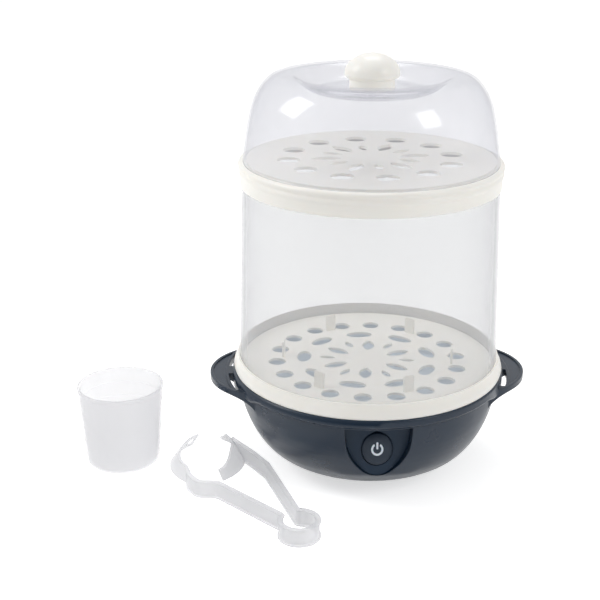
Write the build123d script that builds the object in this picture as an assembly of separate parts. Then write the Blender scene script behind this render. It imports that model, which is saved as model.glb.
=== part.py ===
from build123d import *
import math
import os

os.makedirs("parts", exist_ok=True)

# Millimetres. The origin is on the worktop under the centre of the base, +Z is up,
# the button faces -Y and the two handles lie along X.

# Running and seating clearances
SEAT_GAP = 0.1          # between stacked pieces that lift off one another
SLIP_GAP = 0.3          # around a piece that drops into or over another
BUTTON_GAP = 0.3        # around the button in its hole
PLUG_GAP = 0.1          # around small parts in their pockets
JOIN = 0.5              # how far a feature reaches into the wall that it grows from
CUT = 5.0               # how far a cutter runs past what it cuts

# Base bowl. The rim's radius leads: what it carries takes its place from it.
RIM_R = 121.5
FLOOR_GAP = 4.0         # height of the bowl's flat bottom above the worktop
BOWL_TOP_Z = 73.5       # where the bowl meets its rim band
BAND_OVERHANG = 5.6     # how far the rim stands out over the bowl's side
BOWL_TOP_R = RIM_R - BAND_OVERHANG
BOWL_SIDE_R = 87.0      # radius of the bowl's side in section
BOWL_SIDE_LEAN = 3.7    # degrees below the horizontal at which the side arc starts
BOWL_SIDE_END = 42.7    # degrees at which the bottom corner takes over
BOWL_WALL = 3.0
BOTTOM_FLAT_W = 4.2     # flat ring between the bottom opening and the bowl's bottom corner

# Rim and the ledge that carries the heating basin
RIM_TOP_Z = 88.4
RIM_WALL = 4.2
RIM_BORE_R = RIM_R - RIM_WALL
RIM_ROUND = 1.3
BAND_STEP = 1.8         # how far the rim band's foot is drawn in
BAND_RISE = 1.7         # height of that foot above the bowl's side
LEDGE_TOP_Z = 80.5
LEDGE_T = 3.0
LEDGE_W = 16.3
LEDGE_BORE_R = RIM_BORE_R - LEDGE_W

# Handles
HANDLE_R = 56.0         # radius of the half-moon's outline
HANDLE_OUT = 20.7       # how far each handle reaches past the rim
HANDLE_REACH = RIM_R + HANDLE_OUT
HANDLE_TOP_Z = 82.0
HANDLE_T = 5.0
HANDLE_LIP_W = 2.6
HANDLE_LIP_H = 1.0
SLOT_W = 4.2
SLOT_START = 8.0        # half the width of the web between a handle's two slots
SLOT_END = 43.0
WING_ROOT_Z = 63.0      # where the underside of a handle leaves the bowl
WING_OUT = 18.0         # how far the curved underside reaches from the bowl
WING_HOLLOW = 3.6       # depth of that curve

# Scoop at the front, its panel and the button
FACET_DEPTH = 20.5      # how far the panel's face lies behind the front of the rim
FACET_Y = RIM_R - FACET_DEPTH
PANEL_T = 1.2
PANEL_W = 48.0
PANEL_TOP_Z = 72.5
PANEL_DROP = 41.0       # height of the U
SCOOP_DRAFT = 18.0      # degrees by which the scoop's sides open outwards
FACET_WALL = 2.8
BUTTON_W = 26.0
BUTTON_H = 29.4
BUTTON_Z = 53.5
BUTTON_PROUD = 1.8
BUTTON_TRAVEL = 0.8
BUTTON_FLANGE = 1.5
BUTTON_FLANGE_T = 1.4
BUTTON_ROUND = 0.8
ICON_R = 5.15           # outer radius of the on/off mark across the button
ICON_STROKE = 1.7
ICON_BAR = 6.0
ICON_GAP = 64.0         # degrees left open at the top of the ring
ICON_DEPTH = 0.4
ICON_PROUD = 0.05

# Control board behind the button
PRESS_REST = 0.2        # left between the stem and the switch at full travel
BOARD_W = 48.0
BOARD_CORNER = 2.0
BOARD_H = 30.0
BOARD_T = 1.6
BOARD_BOSS_R = 2.8
BOARD_BOSS_L = 9.0
BOARD_BOSS_X = 19.5
BOARD_SCREW_R = 1.2
BOARD_SCREW_L = 8.6
BOARD_SCREW_HEAD_R = 2.3
BOARD_SCREW_HEAD_T = 1.6
SWITCH_W = 6.0
SWITCH_T = 3.4
PLUNGER_R = 1.7
STEM_R = 3.0
LED_R = 1.5
LED_L = 3.6
LED_ROUND = 1.2
LED_RISE = 10.5         # the lamp's height above the switch

# Bottom cover, its screws and the feet
COVER_T = 2.9
LUG_COUNT = 4
LUG_TURN = 45.0         # puts the screws between the feet
LUG_W = 12.0
LUG_REACH = 5.5         # how far a lug reaches past its screw
LUG_ROOT = 6.0          # how far it lies on the bowl's floor
LUG_H = 7.0
COVER_SCREW_R = 1.5
COVER_SCREW_HEAD_R = 3.0
COVER_SCREW_HEAD_T = 1.8
COVER_SCREW_L = 7.0
COVER_SCREW_INSET = 5.5  # these two run inwards from the edge of the bottom opening
FOOT_COUNT = 4
FOOT_R = 7.0
FOOT_ROUND = 1.0
FOOT_INSET = 10.0
FOOT_SUNK = 1.2

# Heating basin and what hangs under it
GASKET_T = 1.5
GASKET_INSET = 0.5      # how far it stays inside the flange's edge
BASIN_T = 1.2
FLANGE_GAP = 0.7        # around the basin's flange in the rim
BASIN_FLANGE_R = RIM_BORE_R - FLANGE_GAP
BASIN_GAP = 2.1         # around the basin in the ledge
BASIN_WALL_TOP_R = LEDGE_BORE_R - BASIN_GAP
BASIN_WALL_RUN = 8.5    # how far the basin's wall slopes inwards
BASIN_FLOOR_R = BASIN_WALL_TOP_R - BASIN_WALL_RUN
BASIN_FLOOR_Z = 71.2
BASIN_BEND_R = 4.0
STUD_COUNT = 3
STUD_R = 1.5
STUD_L = 8.0
STUD_INSET = 8.1
STUD_RING_R = RIM_BORE_R - STUD_INSET
STUD_TURN = 90.0        # clear of the scoop at the front
NUT_W = 5.5
NUT_T = 2.4
SPREADER_INSET = 14.4   # how far the spreader's edge lies inside the basin's floor
SPREADER_R = BASIN_FLOOR_R - SPREADER_INSET
SPREADER_T = 3.5
ELEMENT_INSET = 16.0
ELEMENT_R = SPREADER_R - ELEMENT_INSET
ELEMENT_TUBE_R = 3.3
ELEMENT_SWEEP = 306.0   # degrees of ring between its two cold ends
ELEMENT_ELBOW_R = 8.0
ELEMENT_TAIL = 5.0
ELEMENT_SEAT = 1.6      # how deep the tube lies in the spreader
TERMINAL_W = 6.3
TERMINAL_T = 0.8
TERMINAL_L = 10.0
THERMOSTAT_R = 8.5
THERMOSTAT_H = 10.0
THERMOSTAT_CAP_H = 3.5
THERMOSTAT_STEP = 1.0
FUSE_R = 2.1
FUSE_L = 12.0
FUSE_Y = 26.0
CLIP_T = 0.8
CLIP_W = 6.0
CLIP_EAR = 5.0

# Cord gland at the back
GLAND_Z = 38.0
GLAND_DEPTH = 18.5      # how far the gland's flat seat lies inside the back of the rim
GLAND_PAD_Y = RIM_R - GLAND_DEPTH
GLAND_PAD_R = 10.5
GLAND_PAD_L = 9.0
GLAND_BORE_R = 3.5
GLAND_BODY_R = 5.7
GLAND_FLANGE_R = 8.5
GLAND_FLANGE_T = 2.2
GLAND_TAIL = 6.0
GLAND_TAIL_STEP = 0.6
GLAND_COLLAR = 1.5      # how far the inner collar stands past the hole
GLAND_COLLAR_T = 2.0

# Lower tray
TRAY_T = 2.4
LOWER_RISE = 2.6        # how far the top of the plate lies above the rim
LOWER_PLATE_Z = RIM_TOP_Z + LOWER_RISE
LOWER_RING_INSET = 1.0
LOWER_RING_R = RIM_R - LOWER_RING_INSET
LOWER_RING_H = 10.0     # height of the ring's lip above the plate
LOWER_RING_TOP_Z = LOWER_PLATE_Z + LOWER_RING_H
LOWER_STEP_RISE = 4.0
LOWER_STEP_Z = LOWER_PLATE_Z + LOWER_STEP_RISE
LOWER_STEP = 1.5
LOWER_LIP_T = 1.4
LOWER_LIP_HOLLOW = 0.7
LOWER_FOOT_H = 2.0      # chamfer at the ring's foot
LOWER_FOOT_W = 0.6
LOWER_BAND_SWELL = 0.3
SKIRT_GAP = 0.6         # around the skirt in the rim
SKIRT_T = 3.0
SKIRT_DEPTH = 4.5
TAB_COUNT = 6
TAB_W = 9.5
TAB_ROUND = 2.0
TAB_H = 15.0
TAB_T = 2.0
TAB_INSET = 39.2        # from the chamber's foot to the ring of tabs
TRAY_TURN = 82.4        # how far the lower tray's pattern stands turned, in degrees
BETWEEN_TURN = 30.0     # from a long petal to the short one and the tab beside it
LOWER_HOLE_COUNT = 18
LOWER_HOLE_R = 7.8
LOWER_HOLE_INSET = 33.5  # from the chamber's foot to the middle of a hole
OVAL_COUNT = 9
OVAL_TURN = 10.0
OVAL_HALF_W = 6.5
OVAL_HALF_H = 12.2
OVAL_INSET = 57.9
PETAL_COUNT = 6
LOWER_PETAL = (23.0, 11.0)
LOWER_PETAL_RING_R = 31.5
LOWER_SHORT = (15.0, 6.0)
LOWER_SHORT_RING_R = 36.0

# Chamber
CHAMBER_INSET = 6.3     # how far the chamber's foot lies inside the rim's outer face
CHAMBER_BOTTOM_R = RIM_R - CHAMBER_INSET
CHAMBER_TAPER = 4.5
CHAMBER_TOP_R = CHAMBER_BOTTOM_R - CHAMBER_TAPER
CHAMBER_WALL = 1.8
CHAMBER_H = 184.4

# Upper tray
UPPER_LEDGE_T = 1.4     # thickness over the chamber's edge
UPPER_PLATE_INSET = 3.5
UPPER_PLATE_R = CHAMBER_TOP_R - UPPER_PLATE_INSET
UPPER_SHOULDER = 2.0    # how far the lid's seat lies below the plate
UPPER_SHELF = 2.0       # width of the ledge that hangs on the chamber's edge
UPPER_RING_OUT = 3.7
UPPER_RING_R = CHAMBER_TOP_R + UPPER_RING_OUT
UPPER_RING_H = 20.0
UPPER_BEAD_H = 4.6
UPPER_NECK = 1.5
UPPER_GROOVE = 1.4      # height of the groove between the two beads
UPPER_BEAD_STEP = 0.5
UPPER_SKIN_T = 1.3
UPPER_TURN = 5.8
UPPER_HOLE_COUNT = 12
UPPER_HOLE_R = 9.8
UPPER_HOLE_INSET = 39.4
UPPER_PETAL = (27.0, 12.0)
UPPER_PETAL_RING_R = 38.5
UPPER_SHORT = (20.0, 8.0)
UPPER_SHORT_RING_R = 35.0

# Lid
LID_INSET = 0.5         # how far its foot lies inside the chamber's outer face
LID_R = CHAMBER_TOP_R - LID_INSET
LID_WALL = 1.8
LID_SHOULDER_IN = 7.2   # these distances run inwards from the foot
LID_SHOULDER_RISE = 45.0
LID_SIDE_BULGE = 0.9
LID_CORNER_IN = 26.2
LID_CORNER_RISE = 72.6
LID_CROWN_IN = 39.2
LID_CROWN_RISE = 74.0
LID_DISH_IN = 64.2
LID_DISH_RISE = 61.0
LID_SHOULDER_TILT = 17.0  # degrees above the horizontal that the skin faces at the shoulder
LID_CORNER_TILT = 70.0

# Knob
KNOB_NECK_R = 19.3
KNOB_NECK_H = 9.5
KNOB_R = 23.6
KNOB_EDGE_H = 3.4
KNOB_H = 30.6
KNOB_UNDER_SWELL = 1.25
KNOB_SCREW_R = 2.0
KNOB_SCREW_HEAD_R = 4.2
KNOB_SCREW_HEAD_T = 2.6
KNOB_SCREW_HEAD_ROUND = 0.8
KNOB_SCREW_L = 16.0
KNOB_SCREW_SPARE = 1.0

# Measuring cup
CUP_X = -223.0
CUP_Y = -10.4
CUP_TOP_R = 38.0
CUP_BOTTOM_R = 32.6
CUP_H = 74.5
CUP_WALL = 1.6
CUP_CORNER = 5.0
CUP_BEAD = 0.6
CUP_MARKS = 4
CUP_MARK_LOW = 20.3
CUP_MARK_STEP = 13.5
CUP_MARK_PROUD = 0.35

# Tongs: a strip that stands on edge, with a rib along each edge
STRIP_T = 2.2
STRIP_H = 15.0
RIB_W = 4.6
RIB_H = 1.4
BOW_X = -66.6
BOW_Y = -146.2
BOW_R = 15.5
BOW_JOINT_GAP = 0.3
ARM_BEND_R = 9.0
JAW_LEAN = 11.0         # how much smaller a jaw's radius is at its top edge

# The tongs' plan, as points (x, y) on the worktop and angles in degrees
LEFT_ARM = [(-79.9, -138.4), (-134.8, -83.5), (-151.7, -82.0), (-159.0, -70.5)]
LEFT_JAW = (-134.0, -22.0)
LEFT_JAW_R = 46.0
LEFT_JAW_START = 129.0
LEFT_JAW_END = 227.0
WINDOW_AT = 137.0
WINDOW_W = 10.0
WINDOW_H = 7.5
RIGHT_ARM = [(-67.2, -131.4), (-92.0, -52.0), (-104.0, -32.0), (-118.0, -12.0)]
RIGHT_JAW = (-160.5, -17.0)
RIGHT_JAW_R = 49.0
RIGHT_JAW_START = -56.0
RIGHT_JAW_SWEEP = 112.0
TIP_H = 4.0             # height of the right jaw's upper tip
TIP_TAPER = 16.0        # length over which it narrows to that
GRIP_COUNT = 3
GRIP_STEP = 7.0
GRIP_START = 4.0
GRIP_SWEEP = 2.0
GRIP_DEPTH = 1.2


def turned(outline):
    """A solid of revolution about the vertical axis from a closed outline drawn as (radius, height)."""
    return revolve(Plane.XZ * make_face(outline), Axis.Z)


def turned_polygon(*corners):
    """A solid of revolution from straight-sided corners."""
    return turned(Polyline(*corners, close=True).edges())


def around(count, start, span=360.0):
    """Angles of evenly spaced copies."""
    return [start + span * i / count for i in range(count)]


def on_ring(shape, radius, angle):
    """Put a shape drawn at the origin on a ring, turned to face along its radius."""
    return Rot(0, 0, angle) * (Pos(radius, 0, 0) * shape)


# Section of the bowl: a long side arc and a bottom corner arc that meet in a tangent
SIDE_CX = BOWL_TOP_R - BOWL_SIDE_R * math.cos(math.radians(BOWL_SIDE_LEAN))
SIDE_CZ = BOWL_TOP_Z + BOWL_SIDE_R * math.sin(math.radians(BOWL_SIDE_LEAN))
END_SIN = math.sin(math.radians(BOWL_SIDE_END))
END_COS = math.cos(math.radians(BOWL_SIDE_END))
CORNER_R = (SIDE_CZ - BOWL_SIDE_R * END_SIN - FLOOR_GAP) / (1 - END_SIN)
CORNER_CX = SIDE_CX + (BOWL_SIDE_R - CORNER_R) * END_COS
CORNER_CZ = SIDE_CZ - (BOWL_SIDE_R - CORNER_R) * END_SIN
BOTTOM_OPENING_R = CORNER_CX - BOTTOM_FLAT_W
COVER_SCREW_RING_R = BOTTOM_OPENING_R - COVER_SCREW_INSET
FOOT_RING_R = BOTTOM_OPENING_R - FOOT_INSET


def bowl_radius(height, inset=0.0):
    """Radius of the bowl's side at a height, on the side arc."""
    return SIDE_CX + math.sqrt((BOWL_SIDE_R - inset) ** 2 - (SIDE_CZ - height) ** 2)


def bowl_arcs(inset, top):
    """Side and corner arcs of the bowl's section, moved inwards, from the bottom up to a height."""
    side_r = BOWL_SIDE_R - inset
    start = -math.degrees(math.asin((SIDE_CZ - top) / side_r))
    side = CenterArc((SIDE_CX, SIDE_CZ), side_r, -BOWL_SIDE_END, BOWL_SIDE_END + start)
    corner = CenterArc((CORNER_CX, CORNER_CZ), CORNER_R - inset, -90, 90 - BOWL_SIDE_END)
    return corner, side


def bowl_body(inset=0.0, top=BOWL_TOP_Z):
    """The full bowl as a solid, inside a surface that lies inset from the outer one."""
    corner, side = bowl_arcs(inset, top)
    low = FLOOR_GAP + inset
    return turned([Line((0, low), corner @ 0), corner, side,
                   Line(side @ 1, (0, top)), Line((0, top), (0, low))])


def u_face(half_width, drop, top):
    """The panel's outline: half an ellipse hanging from a straight top edge, on the XZ plane."""
    arc = EllipticalCenterArc((0, top), half_width, drop, 180, arc_size=180)
    return make_face([arc, Line(arc @ 1, arc @ 0)])


def u_body(grow, start, reach):
    """The panel's outline carried forward from y = -start, opening by the scoop's draft as it goes."""
    spread = reach * math.tan(math.radians(SCOOP_DRAFT))
    near = u_face(PANEL_W / 2 + grow, PANEL_DROP + grow, PANEL_TOP_Z)
    far = u_face(PANEL_W / 2 + grow + spread, PANEL_DROP + grow + spread, PANEL_TOP_Z)
    return loft([facing_front(near, start), facing_front(far, start + reach)])


def facing_front(face, distance):
    """Carry a face drawn as (x, z) to a plane in front of the axis, at y = -distance."""
    return Pos(0, -distance, 0) * (Plane.XZ * face)


def handle_plan(inset=0.0):
    """Plan outline of both handles: two discs, one out to each side."""
    centre_x = HANDLE_REACH - HANDLE_R
    return [Pos(side * centre_x, 0, 0) * Circle(HANDLE_R - inset) for side in (-1, 1)]


def handle_solids(low, high, inset=0.0):
    """Both half-moons between two heights, outside the rim's outer face."""
    solid = None
    for disc in handle_plan(inset):
        block = extrude(Pos(0, 0, low) * disc, high - low)
        solid = block if solid is None else solid + block
    return solid


BUTTON_BACK_Y = FACET_Y - PANEL_T - FACET_WALL   # inner face of the wall behind the panel
BOARD_FRONT_Y = BUTTON_BACK_Y - BOARD_BOSS_L
LEDGE_LOW_Z = LEDGE_TOP_Z - LEDGE_T


def make_base_shell():
    """Bowl, rim and basin ledge turned in one section, with handles, scoop, bosses and gland seat."""
    outer_corner, outer_side = bowl_arcs(0, BOWL_TOP_Z)
    inner_corner, inner_side = bowl_arcs(BOWL_WALL, LEDGE_LOW_Z)
    band_low = BOWL_TOP_Z + BAND_RISE
    lip_z = FLOOR_GAP + BOWL_WALL
    outline = [
        Line((BOTTOM_OPENING_R, FLOOR_GAP), outer_corner @ 0), outer_corner, outer_side,
        Line(outer_side @ 1, (RIM_R - BAND_STEP, band_low)),
        Line((RIM_R - BAND_STEP, band_low), (RIM_R, LEDGE_LOW_Z)),
        Line((RIM_R, LEDGE_LOW_Z), (RIM_R, RIM_TOP_Z - RIM_ROUND)),
        CenterArc((RIM_R - RIM_ROUND, RIM_TOP_Z - RIM_ROUND), RIM_ROUND, 0, 90),
        Line((RIM_R - RIM_ROUND, RIM_TOP_Z), (RIM_BORE_R, RIM_TOP_Z)),
        Line((RIM_BORE_R, RIM_TOP_Z), (RIM_BORE_R, LEDGE_TOP_Z)),
        Line((RIM_BORE_R, LEDGE_TOP_Z), (LEDGE_BORE_R, LEDGE_TOP_Z)),
        Line((LEDGE_BORE_R, LEDGE_TOP_Z), (LEDGE_BORE_R, LEDGE_LOW_Z)),
        Line((LEDGE_BORE_R, LEDGE_LOW_Z), inner_side @ 1), inner_side, inner_corner,
        Line(inner_corner @ 0, (BOTTOM_OPENING_R, lip_z)),
        Line((BOTTOM_OPENING_R, lip_z), (BOTTOM_OPENING_R, FLOOR_GAP)),
    ]
    shell = turned(outline)

    # Handles: a flat half-moon on a curved wing that sweeps down into the bowl
    rim_core = extrude(Circle(RIM_R - JOIN), RIM_TOP_Z)
    paddles = handle_solids(HANDLE_TOP_Z - HANDLE_T, HANDLE_TOP_Z)
    lip = handle_solids(HANDLE_TOP_Z - HANDLE_LIP_H, HANDLE_TOP_Z, HANDLE_LIP_W)
    lip = lip - extrude(Circle(RIM_R + SLOT_W + HANDLE_LIP_W), RIM_TOP_Z)
    root_r = bowl_radius(WING_ROOT_Z) - JOIN
    wing_top = HANDLE_TOP_Z - HANDLE_T
    wing_curve = SagittaArc((root_r, WING_ROOT_Z), (root_r + WING_OUT, wing_top), WING_HOLLOW)
    wing = turned([wing_curve, Line(wing_curve @ 1, (root_r, wing_top)),
                   Line((root_r, wing_top), wing_curve @ 0)])
    wing = wing & handle_solids(WING_ROOT_Z, HANDLE_TOP_Z)
    slot_ring = Circle(RIM_R + SLOT_W) - Circle(RIM_R)
    slots = extrude(Pos(0, 0, WING_ROOT_Z) * slot_ring, RIM_TOP_Z - WING_ROOT_Z)
    slot_length = SLOT_END - SLOT_START
    slot_y = (SLOT_END + SLOT_START) / 2
    slot_zone = None
    for side in (-1, 1):
        zone = Pos(0, side * slot_y, RIM_TOP_Z / 2) * Box(3 * RIM_R, slot_length, 2 * RIM_TOP_Z)
        slot_zone = zone if slot_zone is None else slot_zone + zone
    handles = (paddles - lip - rim_core) + (wing - bowl_body(JOIN, LEDGE_LOW_Z))
    handles = handles - (slots & slot_zone)
    shell = shell + handles

    # Scoop: a wall with a flat face, then the U-shaped cut in front of it
    seat_y = FACET_Y - PANEL_T
    reach = RIM_R - BUTTON_BACK_Y
    spread = reach * math.tan(math.radians(SCOOP_DRAFT))
    roof_h = LEDGE_LOW_Z - PANEL_TOP_Z
    roof = Rectangle(PANEL_W + 2 * FACET_WALL + 2 * spread, roof_h)
    roof = extrude(facing_front(Pos(0, PANEL_TOP_Z + roof_h / 2) * roof, BUTTON_BACK_Y), reach)
    wall = (u_body(FACET_WALL, BUTTON_BACK_Y, reach) + roof) & bowl_body(JOIN, LEDGE_LOW_Z)
    shell = shell + wall - u_body(0, seat_y, reach + CUT)
    button_hole = Pos(0, BUTTON_Z) * Ellipse(BUTTON_W / 2 + BUTTON_GAP, BUTTON_H / 2 + BUTTON_GAP)
    shell = shell - extrude(facing_front(button_hole, BUTTON_BACK_Y - CUT), reach)

    # Bosses for the control board
    for side in (-1, 1):
        boss = Pos(side * BOARD_BOSS_X, BUTTON_Z) * Circle(BOARD_BOSS_R)
        boss = extrude(facing_front(boss, BOARD_FRONT_Y), BOARD_BOSS_L + JOIN)
        hole = Pos(side * BOARD_BOSS_X, BUTTON_Z) * Circle(BOARD_SCREW_R)
        hole = extrude(facing_front(hole, BOARD_FRONT_Y - CUT), CUT + BOARD_SCREW_L - BOARD_T + SLIP_GAP)
        shell = shell + boss - hole

    # Lugs that overhang the bottom opening and take the cover's screws
    lug_start = COVER_SCREW_RING_R - LUG_REACH
    lug_l = BOTTOM_OPENING_R + LUG_ROOT - lug_start
    lug = Box(lug_l, LUG_W, LUG_H, align=(Align.MIN, Align.CENTER, Align.MIN))
    lug = Pos(0, 0, FLOOR_GAP + BOWL_WALL) * lug
    hole = Pos(0, 0, FLOOR_GAP) * extrude(Circle(COVER_SCREW_R), COVER_SCREW_L + SLIP_GAP)
    for angle in around(LUG_COUNT, LUG_TURN):
        shell = shell + on_ring(lug, lug_start, angle) - on_ring(hole, COVER_SCREW_RING_R, angle)

    # Holes for the basin's studs
    hole = Pos(0, 0, LEDGE_LOW_Z - CUT) * extrude(Circle(STUD_R + SLIP_GAP), LEDGE_T + 2 * CUT)
    for angle in around(STUD_COUNT, STUD_TURN):
        shell = shell - on_ring(hole, STUD_RING_R, angle)

    # Flat seat for the cord gland
    pad_start = GLAND_PAD_Y - GLAND_PAD_L
    pad_plane = Plane((0, pad_start, GLAND_Z), x_dir=(1, 0, 0), z_dir=(0, 1, 0))
    pad = extrude(pad_plane * Circle(GLAND_PAD_R), GLAND_PAD_L)
    spot = extrude(pad_plane.offset(GLAND_PAD_L) * Circle(GLAND_PAD_R), RIM_R - GLAND_PAD_Y)
    gland_hole = extrude(pad_plane.offset(-CUT) * Circle(GLAND_BODY_R + PLUG_GAP), GLAND_PAD_L + 2 * CUT)
    shell = shell + pad - spot - gland_hole
    return shell


def make_front_panel():
    """Thin U-shaped plate on the flat of the scoop, with the button's hole."""
    face = u_face(PANEL_W / 2 - PLUG_GAP, PANEL_DROP - PLUG_GAP, PANEL_TOP_Z - PLUG_GAP)
    hole = Pos(0, BUTTON_Z) * Ellipse(BUTTON_W / 2 + BUTTON_GAP, BUTTON_H / 2 + BUTTON_GAP)
    panel = extrude(facing_front(face, FACET_Y - PANEL_T), PANEL_T)
    return panel - extrude(facing_front(hole, FACET_Y - PANEL_T - CUT), PANEL_T + 2 * CUT)


def icon_face():
    """A ring open at the top with an upright bar in its gap."""
    stretch = BUTTON_H / BUTTON_W
    ring = Circle(ICON_R) - Circle(ICON_R - ICON_STROKE)
    half = math.radians(ICON_GAP / 2)
    far = 2 * ICON_R
    wedge = make_face(Polyline((0, 0), (far * math.sin(half), far * math.cos(half)),
                               (-far * math.sin(half), far * math.cos(half)), close=True))
    bar = Pos(0, ICON_R + ICON_STROKE / 2 - ICON_BAR / 2) * SlotOverall(ICON_BAR, ICON_STROKE, rotation=90)
    return Pos(0, BUTTON_Z) * scale(ring - wedge + bar, by=(1, stretch, 1))


BUTTON_FACE_Y = FACET_Y + BUTTON_PROUD
BUTTON_REAR_Y = BUTTON_BACK_Y - PLUG_GAP
FLANGE_REAR_Y = BUTTON_REAR_Y - BUTTON_FLANGE_T
SWITCH_FRONT_Y = BOARD_FRONT_Y + SWITCH_T
STEM_END_Y = SWITCH_FRONT_Y + BUTTON_TRAVEL + PRESS_REST
PLUNGER_L = 2 * BUTTON_TRAVEL + PRESS_REST


def make_power_button():
    """Oval cap with a rounded front edge, a flange behind the wall and a stem that meets the switch."""
    cap_face = Pos(0, BUTTON_Z) * Ellipse(BUTTON_W / 2, BUTTON_H / 2)
    cap = extrude(facing_front(cap_face, BUTTON_REAR_Y), BUTTON_FACE_Y - BUTTON_REAR_Y)
    front_edge = cap.edges().group_by(Axis.Y)[0]
    cap = fillet(front_edge, BUTTON_ROUND)
    flange_face = Pos(0, BUTTON_Z) * Ellipse(BUTTON_W / 2 + BUTTON_FLANGE, BUTTON_H / 2 + BUTTON_FLANGE)
    flange = extrude(facing_front(flange_face, FLANGE_REAR_Y), BUTTON_REAR_Y - FLANGE_REAR_Y)
    stem_face = Pos(0, BUTTON_Z) * Circle(STEM_R)
    stem = extrude(facing_front(stem_face, STEM_END_Y), FLANGE_REAR_Y - STEM_END_Y)
    pocket = extrude(facing_front(icon_face(), BUTTON_FACE_Y - ICON_DEPTH), ICON_DEPTH + CUT)
    return cap + flange + stem - pocket


def make_power_icon():
    """The light mark, set into the button's face."""
    return extrude(facing_front(icon_face(), BUTTON_FACE_Y - ICON_DEPTH), ICON_DEPTH + ICON_PROUD)


def make_switch_plunger():
    """Peg of the switch, which moves with the button."""
    face = Pos(0, BUTTON_Z) * Circle(PLUNGER_R)
    return extrude(facing_front(face, STEM_END_Y - PLUNGER_L), PLUNGER_L)


def make_tact_switch():
    """Square switch body with a round well for its peg."""
    body = Pos(0, BUTTON_Z) * Rectangle(SWITCH_W, SWITCH_W)
    well = Pos(0, BUTTON_Z) * Circle(PLUNGER_R + PLUG_GAP)
    body = extrude(facing_front(body, BOARD_FRONT_Y), SWITCH_T)
    return body - extrude(facing_front(well, SWITCH_FRONT_Y - PLUNGER_L), PLUNGER_L + CUT)


def make_control_board():
    """Printed board on two bosses behind the button."""
    face = Pos(0, BUTTON_Z) * RectangleRounded(BOARD_W, BOARD_H, BOARD_CORNER)
    for side in (-1, 1):
        face = face - Pos(side * BOARD_BOSS_X, BUTTON_Z) * Circle(BOARD_SCREW_R + PLUG_GAP)
    return extrude(facing_front(face, BOARD_FRONT_Y - BOARD_T), BOARD_T)


def make_board_screws():
    """Two pan-head screws through the board into its bosses."""
    screws = []
    rear = BOARD_FRONT_Y - BOARD_T
    for side in (-1, 1):
        at = Pos(side * BOARD_BOSS_X, BUTTON_Z)
        head = facing_front(at * Circle(BOARD_SCREW_HEAD_R), rear - BOARD_SCREW_HEAD_T)
        shank = facing_front(at * Circle(BOARD_SCREW_R - PLUG_GAP / 2), rear)
        screws.append(extrude(head, BOARD_SCREW_HEAD_T) + extrude(shank, BOARD_SCREW_L))
    return Compound(children=screws)


def make_indicator_led():
    """Small lamp above the switch, which lights the mark from behind."""
    face = Pos(0, BUTTON_Z + LED_RISE) * Circle(LED_R)
    lamp = extrude(facing_front(face, BOARD_FRONT_Y), LED_L)
    return fillet(lamp.edges().group_by(Axis.Y)[0], LED_ROUND)


def make_bottom_cover():
    """Round cover in the bottom opening, with sunk seats for the feet and holes for its screws."""
    cover = Pos(0, 0, FLOOR_GAP) * extrude(Circle(BOTTOM_OPENING_R - SLIP_GAP), COVER_T)
    pocket = Pos(0, 0, FLOOR_GAP) * extrude(Circle(FOOT_R + PLUG_GAP), FOOT_SUNK)
    for angle in around(FOOT_COUNT, 0):
        cover = cover - on_ring(pocket, FOOT_RING_R, angle)
    hole = extrude(Circle(COVER_SCREW_R + PLUG_GAP), COVER_T)
    sink = extrude(Circle(COVER_SCREW_HEAD_R + PLUG_GAP), COVER_SCREW_HEAD_T)
    seat = Pos(0, 0, FLOOR_GAP) * (hole + sink)
    for angle in around(LUG_COUNT, LUG_TURN):
        cover = cover - on_ring(seat, COVER_SCREW_RING_R, angle)
    return cover


def make_cover_screws():
    """Four screws from below through the cover into the shell's lugs."""
    head = extrude(Circle(COVER_SCREW_HEAD_R), COVER_SCREW_HEAD_T)
    shank = extrude(Circle(COVER_SCREW_R - PLUG_GAP / 2), COVER_SCREW_L)
    screw = Pos(0, 0, FLOOR_GAP) * (head + shank)
    return Compound(children=[on_ring(screw, COVER_SCREW_RING_R, angle)
                              for angle in around(LUG_COUNT, LUG_TURN)])


def make_rubber_feet():
    """Four round feet in the cover's pockets."""
    foot = extrude(Circle(FOOT_R), FLOOR_GAP + FOOT_SUNK)
    foot = fillet(foot.edges().group_by(Axis.Z)[0], FOOT_ROUND)
    return Compound(children=[on_ring(foot, FOOT_RING_R, angle) for angle in around(FOOT_COUNT, 0)])


BASIN_SEAT_Z = LEDGE_TOP_Z + GASKET_T
BASIN_FLANGE_Z = BASIN_SEAT_Z + BASIN_T
BASIN_SLOPE = math.atan2(BASIN_FLANGE_Z - BASIN_FLOOR_Z, BASIN_WALL_TOP_R - BASIN_FLOOR_R)
BEND_SHIFT = math.tan(BASIN_SLOPE / 2)      # sideways per unit of thickness or bend radius
GASKET_OUT_R = BASIN_FLANGE_R - GASKET_INSET
GASKET_BORE_R = BASIN_WALL_TOP_R + (BASIN_T + BASIN_BEND_R) * BEND_SHIFT + SLIP_GAP
SPREADER_TOP_Z = BASIN_FLOOR_Z - BASIN_T
SPREADER_LOW_Z = SPREADER_TOP_Z - SPREADER_T
ELEMENT_Z = SPREADER_LOW_Z + ELEMENT_SEAT - ELEMENT_TUBE_R
ELEMENT_START = 90 + (360 - ELEMENT_SWEEP) / 2


def make_basin_gasket():
    """Flat silicone ring between the ledge and the basin's flange."""
    ring = Circle(GASKET_OUT_R) - Circle(GASKET_BORE_R)
    gasket = Pos(0, 0, LEDGE_TOP_Z) * extrude(ring, GASKET_T)
    hole = Pos(0, 0, LEDGE_TOP_Z) * extrude(Circle(STUD_R + SLIP_GAP), GASKET_T)
    for angle in around(STUD_COUNT, STUD_TURN):
        gasket = gasket - on_ring(hole, STUD_RING_R, angle)
    return gasket


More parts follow.
